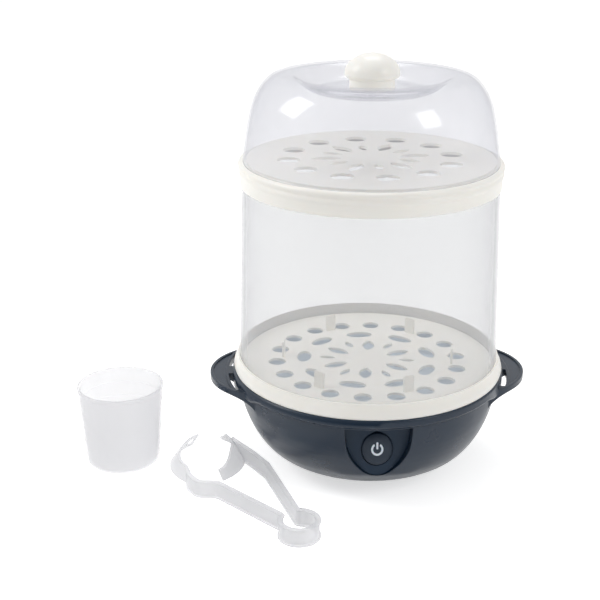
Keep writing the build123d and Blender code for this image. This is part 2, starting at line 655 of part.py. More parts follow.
def make_heating_basin():
    """Pressed metal dish: flange, sloping wall and flat floor of one thickness, with three studs below."""
    shift = BASIN_T * BEND_SHIFT
    upper = FilletPolyline((BASIN_FLANGE_R, BASIN_FLANGE_Z), (BASIN_WALL_TOP_R, BASIN_FLANGE_Z),
                           (BASIN_FLOOR_R, BASIN_FLOOR_Z), (0, BASIN_FLOOR_Z),
                           radius=[BASIN_BEND_R + BASIN_T, BASIN_BEND_R])
    lower = FilletPolyline((BASIN_FLANGE_R, BASIN_SEAT_Z), (BASIN_WALL_TOP_R + shift, BASIN_SEAT_Z),
                           (BASIN_FLOOR_R + shift, SPREADER_TOP_Z), (0, SPREADER_TOP_Z),
                           radius=[BASIN_BEND_R, BASIN_BEND_R + BASIN_T])
    edges = upper.edges() + lower.edges()
    edges = edges + [Line(upper @ 0, lower @ 0), Line(upper @ 1, lower @ 1)]
    basin = turned(edges)
    stud = Pos(0, 0, BASIN_SEAT_Z - STUD_L) * extrude(Circle(STUD_R), STUD_L)
    for angle in around(STUD_COUNT, STUD_TURN):
        basin = basin + on_ring(stud, STUD_RING_R, angle)
    return basin


def make_basin_nuts():
    """Three hexagon nuts that pull the basin down from under the ledge."""
    face = RegularPolygon(NUT_W / 2, 6, major_radius=False) - Circle(STUD_R + PLUG_GAP / 2)
    nut = Pos(0, 0, LEDGE_LOW_Z - NUT_T) * extrude(face, NUT_T)
    return Compound(children=[on_ring(nut, STUD_RING_R, angle) for angle in around(STUD_COUNT, STUD_TURN)])


def element_path():
    """Centre line of the element: a long arc whose ends turn down into two tails."""
    ring = CenterArc((0, 0, ELEMENT_Z), ELEMENT_R, ELEMENT_START, ELEMENT_SWEEP)
    edges = []
    for end, sign in ((0, -1), (1, 1)):
        point = ring @ end
        along = (ring % end) * sign
        half = math.radians(45)
        middle = point + along * (ELEMENT_ELBOW_R * math.sin(half))
        middle = middle - Vector(0, 0, ELEMENT_ELBOW_R * (1 - math.cos(half)))
        low = point + along * ELEMENT_ELBOW_R - Vector(0, 0, ELEMENT_ELBOW_R)
        edges.append(ThreePointArc(point, middle, low))
        edges.append(Line(low, low - Vector(0, 0, ELEMENT_TAIL)))
    return ring, edges


def make_heat_spreader():
    """Cast disc on the basin's underside, with a groove for the element."""
    disc = Pos(0, 0, SPREADER_LOW_Z) * extrude(Circle(SPREADER_R), SPREADER_T)
    groove = Pos(0, 0, ELEMENT_Z) * Torus(ELEMENT_R, ELEMENT_TUBE_R + PLUG_GAP)
    return disc - groove


def make_heating_element():
    """Sheathed tube bent to a horseshoe."""
    ring, ends = element_path()
    path = Wire([ends[1], ends[0], ring, ends[2], ends[3]])
    start = path @ 0
    profile = Plane(start, x_dir=(1, 0, 0), z_dir=path % 0) * Circle(ELEMENT_TUBE_R)
    return sweep(profile, path=path)


def make_element_terminals():
    """A flat blade on each cold end."""
    blades = []
    ring, ends = element_path()
    for tail in (ends[1], ends[3]):
        low = tail @ 1
        blade = Box(TERMINAL_W, TERMINAL_T, TERMINAL_L, align=(Align.CENTER, Align.CENTER, Align.MAX))
        blades.append(Pos(low) * blade)
    return Compound(children=blades)


def make_thermostat():
    """Round thermostat under the middle of the spreader: cap, body and two blades."""
    cap = Pos(0, 0, SPREADER_LOW_Z - THERMOSTAT_CAP_H) * extrude(Circle(THERMOSTAT_R), THERMOSTAT_CAP_H)
    body = extrude(Circle(THERMOSTAT_R - THERMOSTAT_STEP), THERMOSTAT_H)
    thermostat = cap + Pos(0, 0, SPREADER_LOW_Z - THERMOSTAT_H) * body
    for side in (-1, 1):
        blade = Box(TERMINAL_T, TERMINAL_W, TERMINAL_L, align=(Align.CENTER, Align.CENTER, Align.MAX))
        at = Pos(side * THERMOSTAT_R / 2, 0, SPREADER_LOW_Z - THERMOSTAT_H)
        thermostat = thermostat + at * blade
    return thermostat


def make_thermal_fuse():
    """Small cylinder that lies under the spreader."""
    plane = Plane((-FUSE_L / 2, FUSE_Y, SPREADER_LOW_Z - FUSE_R - PLUG_GAP), x_dir=(0, 1, 0), z_dir=(1, 0, 0))
    return extrude(plane * Circle(FUSE_R), FUSE_L)


def make_fuse_clip():
    """Strap that holds the fuse up against the spreader."""
    strap_r = FUSE_R + PLUG_GAP
    out_r = strap_r + CLIP_T

    def saddle(radius):
        """Half a disc with straight sides up to the spreader."""
        half = Circle(radius) - Pos(0, radius) * Rectangle(3 * radius, 2 * radius)
        return half + Pos(0, strap_r / 2) * Rectangle(2 * radius, strap_r)

    ears = Pos(0, strap_r - CLIP_T / 2) * Rectangle(2 * (out_r + CLIP_EAR), CLIP_T)
    plane = Plane((0, FUSE_Y, SPREADER_LOW_Z - strap_r), x_dir=(0, 1, 0), z_dir=(1, 0, 0))
    return extrude(plane * (saddle(out_r) + ears - saddle(strap_r)), CLIP_W / 2, both=True)


def make_cord_gland():
    """Rubber bush in the flat seat at the back: outer flange, body, retaining collar and bore."""
    def disc(radius, start, length):
        plane = Plane((0, start, GLAND_Z), x_dir=(1, 0, 0), z_dir=(0, 1, 0))
        return extrude(plane * Circle(radius), length)
    flange = disc(GLAND_FLANGE_R, GLAND_PAD_Y, GLAND_FLANGE_T)
    tail = disc(GLAND_BODY_R - GLAND_TAIL_STEP, GLAND_PAD_Y + GLAND_FLANGE_T, GLAND_TAIL)
    inner_end = GLAND_PAD_Y - GLAND_PAD_L - PLUG_GAP - GLAND_COLLAR_T
    body = disc(GLAND_BODY_R, inner_end, GLAND_PAD_Y - inner_end)
    collar = disc(GLAND_BODY_R + GLAND_COLLAR, inner_end, GLAND_COLLAR_T)
    bore_l = GLAND_PAD_Y + GLAND_FLANGE_T + GLAND_TAIL - inner_end + 2 * CUT
    return flange + tail + body + collar - disc(GLAND_BORE_R, inner_end - CUT, bore_l)


def petal(length, width):
    """A pointed oval made of two arcs, lying along X."""
    top = ThreePointArc((-length / 2, 0), (0, width / 2), (length / 2, 0))
    low = ThreePointArc((length / 2, 0), (0, -width / 2), (-length / 2, 0))
    return make_face([top, low])


def punched(plate, rows, turn, low):
    """Cut rows of holes through a plate. A row is (shape, ring radius, count, start angle)."""
    for shape, radius, count, start in rows:
        cutter = Pos(0, 0, low - CUT) * extrude(shape, TRAY_T + 2 * CUT)
        for angle in around(count, turn + start):
            plate = plate - on_ring(cutter, radius, angle)
    return plate


LOWER_LOW_Z = RIM_TOP_Z + SEAT_GAP
SKIRT_R = RIM_BORE_R - SKIRT_GAP
LOWER_BORE_R = CHAMBER_BOTTOM_R + SLIP_GAP
TAB_RING_R = CHAMBER_BOTTOM_R - TAB_INSET

LOWER_HOLES = [
    (Circle(LOWER_HOLE_R), CHAMBER_BOTTOM_R - LOWER_HOLE_INSET, LOWER_HOLE_COUNT, 0),
    (Ellipse(OVAL_HALF_W, OVAL_HALF_H), CHAMBER_BOTTOM_R - OVAL_INSET, OVAL_COUNT, OVAL_TURN),
    (petal(*LOWER_PETAL), LOWER_PETAL_RING_R, PETAL_COUNT, 0),
    (petal(*LOWER_SHORT), LOWER_SHORT_RING_R, PETAL_COUNT, BETWEEN_TURN),
]


def make_lower_tray():
    """Perforated plate inside a stepped ring that seats on the rim and carries the chamber."""
    plate_low = LOWER_PLATE_Z - TRAY_T
    lip_out = LOWER_BORE_R + LOWER_LIP_T
    step_r = LOWER_RING_R - LOWER_STEP
    skirt_low = LOWER_LOW_Z - SKIRT_DEPTH
    foot_z = LOWER_LOW_Z + LOWER_FOOT_H
    lip_arc = SagittaArc((step_r, LOWER_STEP_Z), (lip_out, LOWER_RING_TOP_Z), LOWER_LIP_HOLLOW)
    band_arc = SagittaArc((LOWER_RING_R, foot_z), (step_r, LOWER_STEP_Z), -LOWER_BAND_SWELL)
    outline = [
        Line((0, plate_low), (SKIRT_R - SKIRT_T, plate_low)),
        Line((SKIRT_R - SKIRT_T, plate_low), (SKIRT_R - SKIRT_T, skirt_low)),
        Line((SKIRT_R - SKIRT_T, skirt_low), (SKIRT_R, skirt_low)),
        Line((SKIRT_R, skirt_low), (SKIRT_R, LOWER_LOW_Z)),
        Line((SKIRT_R, LOWER_LOW_Z), (LOWER_RING_R - LOWER_FOOT_W, LOWER_LOW_Z)),
        Line((LOWER_RING_R - LOWER_FOOT_W, LOWER_LOW_Z), (LOWER_RING_R, foot_z)), band_arc, lip_arc,
        Line((lip_out, LOWER_RING_TOP_Z), (LOWER_BORE_R, LOWER_RING_TOP_Z)),
        Line((LOWER_BORE_R, LOWER_RING_TOP_Z), (LOWER_BORE_R, LOWER_PLATE_Z)),
        Line((LOWER_BORE_R, LOWER_PLATE_Z), (0, LOWER_PLATE_Z)),
        Line((0, LOWER_PLATE_Z), (0, plate_low)),
    ]
    tray = punched(turned(outline), LOWER_HOLES, TRAY_TURN, plate_low)
    tab = Pos(0, 0, LOWER_PLATE_Z) * Box(TAB_T, TAB_W, TAB_H, align=(Align.CENTER, Align.CENTER, Align.MIN))
    tab = fillet(tab.edges().filter_by(Axis.X).group_by(Axis.Z)[-1], TAB_ROUND)
    for angle in around(TAB_COUNT, TRAY_TURN + BETWEEN_TURN):
        tray = tray + on_ring(tab, TAB_RING_R, angle)
    return tray


CHAMBER_LOW_Z = LOWER_PLATE_Z + SEAT_GAP
CHAMBER_TOP_Z = CHAMBER_LOW_Z + CHAMBER_H


def chamber_radius(height):
    """Outer radius of the tapered chamber at a height."""
    share = (height - CHAMBER_LOW_Z) / CHAMBER_H
    return CHAMBER_BOTTOM_R + (CHAMBER_TOP_R - CHAMBER_BOTTOM_R) * share


def make_chamber():
    """Tapered tube, open at both ends."""
    return turned_polygon((CHAMBER_BOTTOM_R, CHAMBER_LOW_Z), (CHAMBER_TOP_R, CHAMBER_TOP_Z),
                          (CHAMBER_TOP_R - CHAMBER_WALL, CHAMBER_TOP_Z),
                          (CHAMBER_BOTTOM_R - CHAMBER_WALL, CHAMBER_LOW_Z))


UPPER_UNDER_Z = CHAMBER_TOP_Z + SEAT_GAP
UPPER_SEAT_Z = UPPER_UNDER_Z + UPPER_LEDGE_T
UPPER_PLATE_Z = UPPER_SEAT_Z + UPPER_SHOULDER

UPPER_HOLES = [
    (Circle(UPPER_HOLE_R), CHAMBER_TOP_R - UPPER_HOLE_INSET, UPPER_HOLE_COUNT, 0),
    (petal(*UPPER_PETAL), UPPER_PETAL_RING_R, PETAL_COUNT, 0),
    (petal(*UPPER_SHORT), UPPER_SHORT_RING_R, PETAL_COUNT, BETWEEN_TURN),
]


def make_upper_tray():
    """Perforated plate with a raised middle for the lid and a beaded ring that hangs over the chamber."""
    plate_low = UPPER_PLATE_Z - TRAY_T
    ring_low = UPPER_SEAT_Z - UPPER_RING_H
    bore_r = max(chamber_radius(ring_low), CHAMBER_TOP_R) + SLIP_GAP
    skin_r = bore_r + UPPER_SKIN_T
    neck_r = UPPER_RING_R - UPPER_NECK
    bead_low = UPPER_SEAT_Z - UPPER_BEAD_H
    bead_two = bead_low - UPPER_GROOVE
    bead_two_low = bead_two - UPPER_BEAD_H
    top_bead = SagittaArc((neck_r, bead_low), (neck_r, UPPER_SEAT_Z), -UPPER_NECK)
    low_bead = SagittaArc((neck_r, bead_two_low), (neck_r, bead_two), UPPER_BEAD_STEP - UPPER_NECK)
    plate_edge = UPPER_PLATE_R - UPPER_SHELF
    outline = [
        Line((0, plate_low), (plate_edge, plate_low)),
        Line((plate_edge, plate_low), (plate_edge, UPPER_UNDER_Z)),
        Line((plate_edge, UPPER_UNDER_Z), (bore_r, UPPER_UNDER_Z)),
        Line((bore_r, UPPER_UNDER_Z), (bore_r, ring_low)),
        Line((bore_r, ring_low), (skin_r, ring_low)),
        Line((skin_r, ring_low), (neck_r, bead_two_low)), low_bead,
        Line((neck_r, bead_two), (neck_r, bead_low)), top_bead,
        Line((neck_r, UPPER_SEAT_Z), (UPPER_PLATE_R, UPPER_SEAT_Z)),
        Line((UPPER_PLATE_R, UPPER_SEAT_Z), (UPPER_PLATE_R, UPPER_PLATE_Z)),
        Line((UPPER_PLATE_R, UPPER_PLATE_Z), (0, UPPER_PLATE_Z)),
        Line((0, UPPER_PLATE_Z), (0, plate_low)),
    ]
    return punched(turned(outline), UPPER_HOLES, UPPER_TURN, plate_low)


LID_LOW_Z = UPPER_SEAT_Z + SEAT_GAP


def lid_outline(inset):
    """Section of the lid's skin from its bottom edge up over the crown and down to the dished middle."""
    def point(radius, rise, tilt):
        """A point of the outer skin, moved inwards against the way the skin faces there."""
        facing = math.radians(tilt)
        return radius - inset * math.cos(facing), LID_LOW_Z + rise - inset * math.sin(facing)

    shoulder = point(LID_R - LID_SHOULDER_IN, LID_SHOULDER_RISE, LID_SHOULDER_TILT)
    side = SagittaArc(point(LID_R, 0, 0), shoulder, -LID_SIDE_BULGE)
    corner = point(LID_R - LID_CORNER_IN, LID_CORNER_RISE, LID_CORNER_TILT)
    turn = TangentArc([side @ 1, corner], tangent=side % 1)
    crown = point(LID_R - LID_CROWN_IN, LID_CROWN_RISE, 90)
    dish = point(LID_R - LID_DISH_IN, LID_DISH_RISE, 90)
    over = Spline([turn @ 1, crown, dish], tangents=[turn % 1, (-1, 0)])
    return [side, turn, over, Line(over @ 1, point(0, LID_DISH_RISE, 90))]


def make_lid():
    """Clear dome of one wall thickness, with the knob's screw hole."""
    outer = lid_outline(0)
    inner = lid_outline(LID_WALL)
    edges = outer + inner + [Line(outer[0] @ 0, inner[0] @ 0), Line(outer[-1] @ 1, inner[-1] @ 1)]
    lid = turned(edges)
    hole = Pos(0, 0, LID_LOW_Z) * extrude(Circle(KNOB_SCREW_R + PLUG_GAP), LID_CROWN_RISE)
    return lid - hole


KNOB_SEAT_Z = LID_LOW_Z + LID_DISH_RISE


def make_knob():
    """Mushroom knob: a straight neck under a domed cap, with a blind hole for its screw."""
    neck_z = KNOB_SEAT_Z + KNOB_NECK_H
    edge_z = neck_z + KNOB_EDGE_H
    top_z = KNOB_SEAT_Z + KNOB_H
    under = SagittaArc((KNOB_NECK_R, neck_z), (KNOB_R, edge_z), -KNOB_UNDER_SWELL)
    half = math.sqrt(0.5)
    dome_mid = (KNOB_R * half, edge_z + (top_z - edge_z) * half)
    dome = Spline([(KNOB_R, edge_z), dome_mid, (0, top_z)], tangents=[(0, 1), (-1, 0)])
    knob = turned([Line((0, KNOB_SEAT_Z), (KNOB_NECK_R, KNOB_SEAT_Z)),
                   Line((KNOB_NECK_R, KNOB_SEAT_Z), (KNOB_NECK_R, neck_z)), under, dome,
                   Line((0, top_z), (0, KNOB_SEAT_Z))])
    hole = Pos(0, 0, KNOB_SEAT_Z) * extrude(Circle(KNOB_SCREW_R + PLUG_GAP / 2), KNOB_SCREW_L)
    return knob - hole


def make_knob_screw():
    """Pan-head screw from inside the lid into the knob."""
    under_z = KNOB_SEAT_Z - LID_WALL
    head = Pos(0, 0, under_z - KNOB_SCREW_HEAD_T) * extrude(Circle(KNOB_SCREW_HEAD_R), KNOB_SCREW_HEAD_T)
    head = fillet(head.edges().group_by(Axis.Z)[0], KNOB_SCREW_HEAD_ROUND)
    shank = Pos(0, 0, under_z) * extrude(Circle(KNOB_SCREW_R), LID_WALL + KNOB_SCREW_L - KNOB_SCREW_SPARE)
    return head + shank


def cup_radius(height):
    """Outer radius of the measuring cup at a height."""
    return CUP_BOTTOM_R + (CUP_TOP_R - CUP_BOTTOM_R) * height / CUP_H


def make_measuring_cup():
    """Tapered cup with a rounded foot, a small bead at its mouth and raised measuring rings inside."""
    outer = FilletPolyline((0, 0), (CUP_BOTTOM_R, 0), (CUP_TOP_R, CUP_H), radius=CUP_CORNER)
    inner = FilletPolyline((0, CUP_WALL), (CUP_BOTTOM_R - CUP_WALL, CUP_WALL), (CUP_TOP_R - CUP_WALL, CUP_H),
                           radius=CUP_CORNER - CUP_WALL)
    edges = outer.edges() + inner.edges()
    edges = edges + [Line(outer @ 0, inner @ 0), Line(outer @ 1, inner @ 1)]
    cup = turned(edges)
    bead_z = CUP_H - CUP_WALL
    bead = Pos(0, 0, bead_z) * Torus(cup_radius(bead_z) - CUP_WALL / 2, CUP_WALL / 2 + CUP_BEAD)
    bead = bead & Pos(0, 0, CUP_H / 2) * Cylinder(2 * CUP_TOP_R, CUP_H)
    cup = cup + bead
    for i in range(CUP_MARKS):
        height = CUP_MARK_LOW + CUP_MARK_STEP * i
        mark = Pos(0, 0, height) * Torus(cup_radius(height) - CUP_WALL, CUP_MARK_PROUD)
        cup = cup + mark
    return Pos(CUP_X, CUP_Y, 0) * cup


def strip(line):
    """The tongs' strip along a plan line: a thin web with a rib at its lower and upper edge."""
    web = extrude(trace(line, STRIP_T), STRIP_H)
    rib_face = trace(line, RIB_W)
    return web + extrude(rib_face, RIB_H) + Pos(0, 0, STRIP_H - RIB_H) * extrude(rib_face, RIB_H)


def jaw_corners(radius):
    """Section of a jaw as (radius, height): a band that leans inwards as it rises."""
    top = radius - JAW_LEAN
    return [(radius, 0), (top, STRIP_H), (top - STRIP_T, STRIP_H), (radius - STRIP_T, 0)]


def jaw(centre, radius, start, sweep_angle):
    """A curved jaw: part of a cone's skin about its own centre."""
    band = Plane.XZ * make_face(Polyline(*jaw_corners(radius), close=True))
    band = revolve(band, Axis.Z, sweep_angle)
    return Pos(*centre, 0) * (Rot(0, 0, start) * band)


def jaw_inside(centre, radius):
    """The cone of space inside a jaw's skin."""
    inner = radius - STRIP_T
    cone = Cone(inner, inner - JAW_LEAN, STRIP_H, align=(Align.CENTER, Align.CENTER, Align.MIN))
    return Pos(*centre, 0) * cone


def twist(centre, radius, angle, line):
    """A short stretch that turns from the upright strip at a line's end to the jaw's leaning section."""
    turn = math.radians(angle)
    leaning = [Vector(centre[0] + r * math.cos(turn), centre[1] + r * math.sin(turn), z)
               for r, z in jaw_corners(radius)]
    along = line % 1
    side = Vector(-along.Y, along.X, 0) * (STRIP_T / 2)
    point = line @ 1
    rise = Vector(0, 0, STRIP_H)
    upright = [point - side, point - side + rise, point + side + rise, point + side]
    sections = [make_face(Polyline(*corners, close=True)) for corners in (upright, leaning)]
    return loft(sections, ruled=True)


def make_left_arm():
    """Arm from the bow round its bend to the left jaw, with a window near the jaw's tip."""
    line = FilletPolyline(*LEFT_ARM, radius=ARM_BEND_R)
    arm = strip(line) + twist(LEFT_JAW, LEFT_JAW_R, LEFT_JAW_END, line)
    arm = arm + jaw(LEFT_JAW, LEFT_JAW_R, LEFT_JAW_START, LEFT_JAW_END - LEFT_JAW_START)
    window = Pos(LEFT_JAW_R - JAW_LEAN / 2, 0, STRIP_H / 2) * Box(2 * JAW_LEAN, WINDOW_W, WINDOW_H)
    return arm - Pos(*LEFT_JAW, 0) * (Rot(0, 0, WINDOW_AT) * window)


def make_right_arm():
    """Arm from the bow past its elbow to the C-shaped right jaw, with grip ribs and a tapered upper tip."""
    line = FilletPolyline(*RIGHT_ARM, radius=ARM_BEND_R)
    arm = strip(line) - jaw_inside(RIGHT_JAW, RIGHT_JAW_R)
    arm = arm + jaw(RIGHT_JAW, RIGHT_JAW_R, RIGHT_JAW_START, RIGHT_JAW_SWEEP)
    for i in range(GRIP_COUNT):
        start = RIGHT_JAW_START + GRIP_START + GRIP_STEP * i
        arm = arm + jaw(RIGHT_JAW, RIGHT_JAW_R - GRIP_DEPTH, start, GRIP_SWEEP)
    past_tip = TIP_H - CUT * (STRIP_H - TIP_H) / TIP_TAPER
    slant = Plane.YZ * make_face(Polyline((CUT, past_tip), (CUT, STRIP_H + CUT), (-TIP_TAPER, STRIP_H + CUT),
                                          (-TIP_TAPER, STRIP_H), close=True))
    taper = on_ring(extrude(slant, JAW_LEAN, both=True), RIGHT_JAW_R - JAW_LEAN / 2,
                    RIGHT_JAW_START + RIGHT_JAW_SWEEP)
    return arm - Pos(*RIGHT_JAW, 0) * taper


def make_bow():
    """Springy loop that joins the two arms, with a fine gap to each."""
    def bearing(point):
        return math.degrees(math.atan2(point[1] - BOW_Y, point[0] - BOW_X))

    to_left = bearing(LEFT_ARM[0])
    to_right = bearing(RIGHT_ARM[0])
    gap = math.degrees((RIB_W / 2 + BOW_JOINT_GAP) / BOW_R)
    size = 360 - (to_left - to_right) - 2 * gap
    return strip(CenterArc((BOW_X, BOW_Y), BOW_R, to_left + gap, size))


NODES = {
    "base_shell": make_base_shell,
    "front_panel": make_front_panel,
    "power_button": make_power_button,
    "power_icon": make_power_icon,
    "switch_plunger": make_switch_plunger,
    "tact_switch": make_tact_switch,
    "control_board": make_control_board,
    "board_screws": make_board_screws,
    "indicator_led": make_indicator_led,
    "bottom_cover": make_bottom_cover,
    "cover_screws": make_cover_screws,
    "rubber_feet": make_rubber_feet,
    "basin_gasket": make_basin_gasket,
    "heating_basin": make_heating_basin,
    "basin_nuts": make_basin_nuts,
    "heat_spreader": make_heat_spreader,
    "heating_element": make_heating_element,
    "element_terminals": make_element_terminals,
    "thermostat": make_thermostat,
    "thermal_fuse": make_thermal_fuse,
    "fuse_clip": make_fuse_clip,
    "cord_gland": make_cord_gland,
    "lower_tray": make_lower_tray,
    "chamber": make_chamber,
    "upper_tray": make_upper_tray,
    "lid": make_lid,
    "knob": make_knob,
    "knob_screw": make_knob_screw,
    "measuring_cup": make_measuring_cup,
    "tongs_left_arm": make_left_arm,
    "tongs_right_arm": make_right_arm,
    "tongs_bow": make_bow,
}

for node, make in NODES.items():
    piece = make()
    export_step(piece, f"parts/{node}.step")
    size = piece.bounding_box().size
    print(f"{node:18s} solids {len(piece.solids())}  volume {piece.volume:9.1f}  "
          f"size {size.X:6.1f} {size.Y:6.1f} {size.Z:6.1f}")
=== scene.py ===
# %% [markdown]
# # A steam sterilizer for baby bottles
# The machine boils a little water in a metal basin, and the steam rises past the bottles in a frosted
# chamber. On the real object nearly everything is injection moulded plastic, so this lesson is about
# thin walls: white ones that hide what is behind them, frosted ones that veil it and clear ones that
# mostly show themselves by their reflections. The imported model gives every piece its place. We load it
# first, and note the size of its box, because nothing that we add may reach past it.

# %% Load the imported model
import math
import bmesh
import bpy
import numpy as np
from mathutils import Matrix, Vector


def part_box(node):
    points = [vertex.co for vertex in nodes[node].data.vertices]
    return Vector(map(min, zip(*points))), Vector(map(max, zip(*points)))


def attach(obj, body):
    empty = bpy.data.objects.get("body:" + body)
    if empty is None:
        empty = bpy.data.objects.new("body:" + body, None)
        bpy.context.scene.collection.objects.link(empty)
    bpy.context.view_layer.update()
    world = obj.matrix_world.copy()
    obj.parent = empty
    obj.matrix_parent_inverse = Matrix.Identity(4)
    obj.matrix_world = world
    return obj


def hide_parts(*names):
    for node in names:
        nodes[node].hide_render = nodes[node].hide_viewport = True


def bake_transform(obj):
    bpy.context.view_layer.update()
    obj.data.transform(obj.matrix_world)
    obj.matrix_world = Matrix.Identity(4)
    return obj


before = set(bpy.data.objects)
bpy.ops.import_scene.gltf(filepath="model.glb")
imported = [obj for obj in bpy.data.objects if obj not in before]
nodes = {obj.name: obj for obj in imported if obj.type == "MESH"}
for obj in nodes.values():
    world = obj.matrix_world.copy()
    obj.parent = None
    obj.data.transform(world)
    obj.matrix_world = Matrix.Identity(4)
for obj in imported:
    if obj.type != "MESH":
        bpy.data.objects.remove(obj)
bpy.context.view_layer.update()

# %% [markdown]
# ## The camera
# The photograph looks slightly down on the machine from its front left. These values were found by
# fitting the rings of both trays to the picture. The lens is a long one, so the sides stay nearly
# upright, and a small shift puts the machine in the middle without tilting the camera further.

# %% Camera
SENSOR_MM = 36.0
LENS_MM = 68.81
SHIFT_UP = -0.10  # as a share of the picture's width
CAMERA_PLACE = (-0.0940, -0.9584, 0.5102)
LOOK_DOWN = 0.3083  # radians
LOOK_RIGHT = 0.0345  # radians

camera_data = bpy.data.cameras.new("camera")
camera_data.sensor_width = SENSOR_MM
camera_data.lens = LENS_MM
camera_data.shift_y = SHIFT_UP
camera = bpy.data.objects.new("camera", camera_data)
camera.location = CAMERA_PLACE
camera.rotation_euler = (math.radians(90) - LOOK_DOWN, 0.0, -LOOK_RIGHT)
bpy.context.scene.collection.objects.link(camera)
bpy.context.scene.camera = camera
bpy.context.scene.view_settings.view_transform = "Standard"
print("camera:", LENS_MM, "mm lens, looking down by", round(math.degrees(LOOK_DOWN), 1), "degrees")

# %% [markdown]
# ## Colours, lengths and nodes
# Colours are given as hex values, which are sRGB. The renderer works with linear light, so one
# function converts them. Patterns are thought of in millimetres, and a second function turns the size
# of one grain into the scale of a noise texture on object coordinates, which are metres. A third adds
# a shader node with its settings and links in one call. The last three are used by nearly every
# finish: fine bumps, a value that drifts from patch to patch, and a colour that does, because no
# moulding has one even colour or one even shine.

# %% Small helpers
MM = 0.001
NOISE_LOW, NOISE_HIGH = 0.3, 0.7  # nearly all of a noise texture lies between these
BEVEL_SAMPLES = 4


def linear(hex_colour):
    """Linear RGBA of an sRGB hex colour: ((c + 0.055) / 1.055) ** 2.4, or c / 12.92 near black."""
    channels = np.array([int(hex_colour[i:i + 2], 16) for i in (1, 3, 5)]) / 255.0
    low = channels / 12.92
    high = ((channels + 0.055) / 1.055) ** 2.4
    return tuple(np.where(channels <= 0.04045, low, high)) + (1.0,)


def grain(size_mm):
    """Texture scale that makes one grain about this many millimetres wide."""
    return 1.0 / (size_mm * MM)


def add(tree, kind, inputs=None, **settings):
    """Add a shader node. Inputs are socket names or numbers, each with a value or a node's output."""
    node = tree.nodes.new(kind)
    for name, value in settings.items():
        setattr(node, name, value)
    for name, value in (inputs or {}).items():
        if isinstance(value, bpy.types.NodeSocket):
            tree.links.new(value, node.inputs[name])
        else:
            node.inputs[name].default_value = value
    return node


def maths(tree, operation, *values):
    """The result of a maths node on numbers or on other nodes' outputs."""
    return add(tree, "ShaderNodeMath", dict(enumerate(values)), operation=operation).outputs[0]


def mixed(tree, share, first, second):
    """Two shaders mixed: none of the second at share 0, all of it at share 1."""
    return add(tree, "ShaderNodeMixShader", {0: share, 1: first, 2: second}).outputs[0]


def new_material(name):
    """An empty node material and its tree."""
    material = bpy.data.materials.new(name)
    material.use_nodes = True
    material.node_tree.nodes.clear()
    print("material:", name)
    return material, material.node_tree


def show(tree, shader):
    """Send a shader to the material's surface."""
    add(tree, "ShaderNodeOutputMaterial", {"Surface": shader})


def bumps(tree, size_mm, height_mm, detail=2.0, edge_mm=0.0):
    """A bump normal from noise: grains of one size and height, on object coordinates.

    edge_mm is the radius to which the shading rounds a sharp edge, as a mould does.
    """
    place = add(tree, "ShaderNodeTexCoord").outputs["Object"]
    noise = add(tree, "ShaderNodeTexNoise", {
        "Vector": place, "Scale": grain(size_mm), "Detail": detail})
    bump = add(tree, "ShaderNodeBump", {"Height": noise.outputs["Fac"], "Distance": height_mm * MM})
    if edge_mm:
        edges = add(tree, "ShaderNodeBevel", {"Radius": edge_mm * MM}, samples=BEVEL_SAMPLES)
        tree.links.new(edges.outputs["Normal"], bump.inputs["Normal"])
    return bump.outputs["Normal"]


def cloudy(tree, size_mm, low, high, detail=3.0):
    """A number that drifts between two values over patches of one size."""
    place = add(tree, "ShaderNodeTexCoord").outputs["Object"]
    noise = add(tree, "ShaderNodeTexNoise", {
        "Vector": place, "Scale": grain(size_mm), "Detail": detail})
    fit = add(tree, "ShaderNodeMapRange", {
        "Value": noise.outputs["Fac"], "From Min": NOISE_LOW, "From Max": NOISE_HIGH,
        "To Min": low, "To Max": high})
    return fit.outputs["Result"]


def two_tone(tree, size_mm, first, second):
    """A colour that drifts between two hex colours over patches of one size."""
    share = cloudy(tree, size_mm, 0.0, 1.0)
    mix = add(tree, "ShaderNodeMix", {"Factor": share, "A": linear(first), "B": linear(second)},
              data_type="RGBA")
    return mix.outputs[2]


# %% [markdown]
# ## The studio
# The machine stands on white, lit so evenly that the floor shows only a breath of shadow. The floor's
# own colour does that, not strong lamps: the world and the floor are plain white to the camera and to
# what is seen in or through plastic, while the light that falls on the object stays at an even level.
# Dark glossy plastic needs something to mirror. A real studio is bright at the sides and dim behind
# the photographer, so the part of the world that gloss mirrors falls off towards the front.

# %% World
SKY_FOR_LIGHT = 0.56
SKY_BEHIND_CAMERA = 0.20
DIM_BEFORE, BRIGHT_AFTER = -0.95, -0.25  # Y of the way that gloss looks, -1 being straight to the front

world = bpy.data.worlds.new("studio")
world.use_nodes = True
bpy.context.scene.world = world
sky = world.node_tree
sky.nodes.clear()
path = add(sky, "ShaderNodeLightPath").outputs
towards = add(sky, "ShaderNodeTexCoord").outputs["Generated"]
split = add(sky, "ShaderNodeSeparateXYZ", {"Vector": towards})
front = add(sky, "ShaderNodeMapRange", {
    "Value": split.outputs["Y"], "From Min": DIM_BEFORE, "From Max": BRIGHT_AFTER,
    "To Min": SKY_BEHIND_CAMERA, "To Max": 1.0})
seen = maths(sky, "MAXIMUM", path["Is Camera Ray"], path["Is Transmission Ray"])
lighting = add(sky, "ShaderNodeMix", {
    "Factor": path["Is Glossy Ray"], "A": SKY_FOR_LIGHT, "B": front.outputs["Result"]})
strength = add(sky, "ShaderNodeMix", {"Factor": seen, "A": lighting.outputs[0], "B": 1.0})
background = add(sky, "ShaderNodeBackground", {
    "Color": linear("#FFFFFF"), "Strength": strength.outputs[0]})
add(sky, "ShaderNodeOutputWorld", {"Surface": background.outputs[0]})
print("world:", len(sky.nodes), "nodes, light level", SKY_FOR_LIGHT)

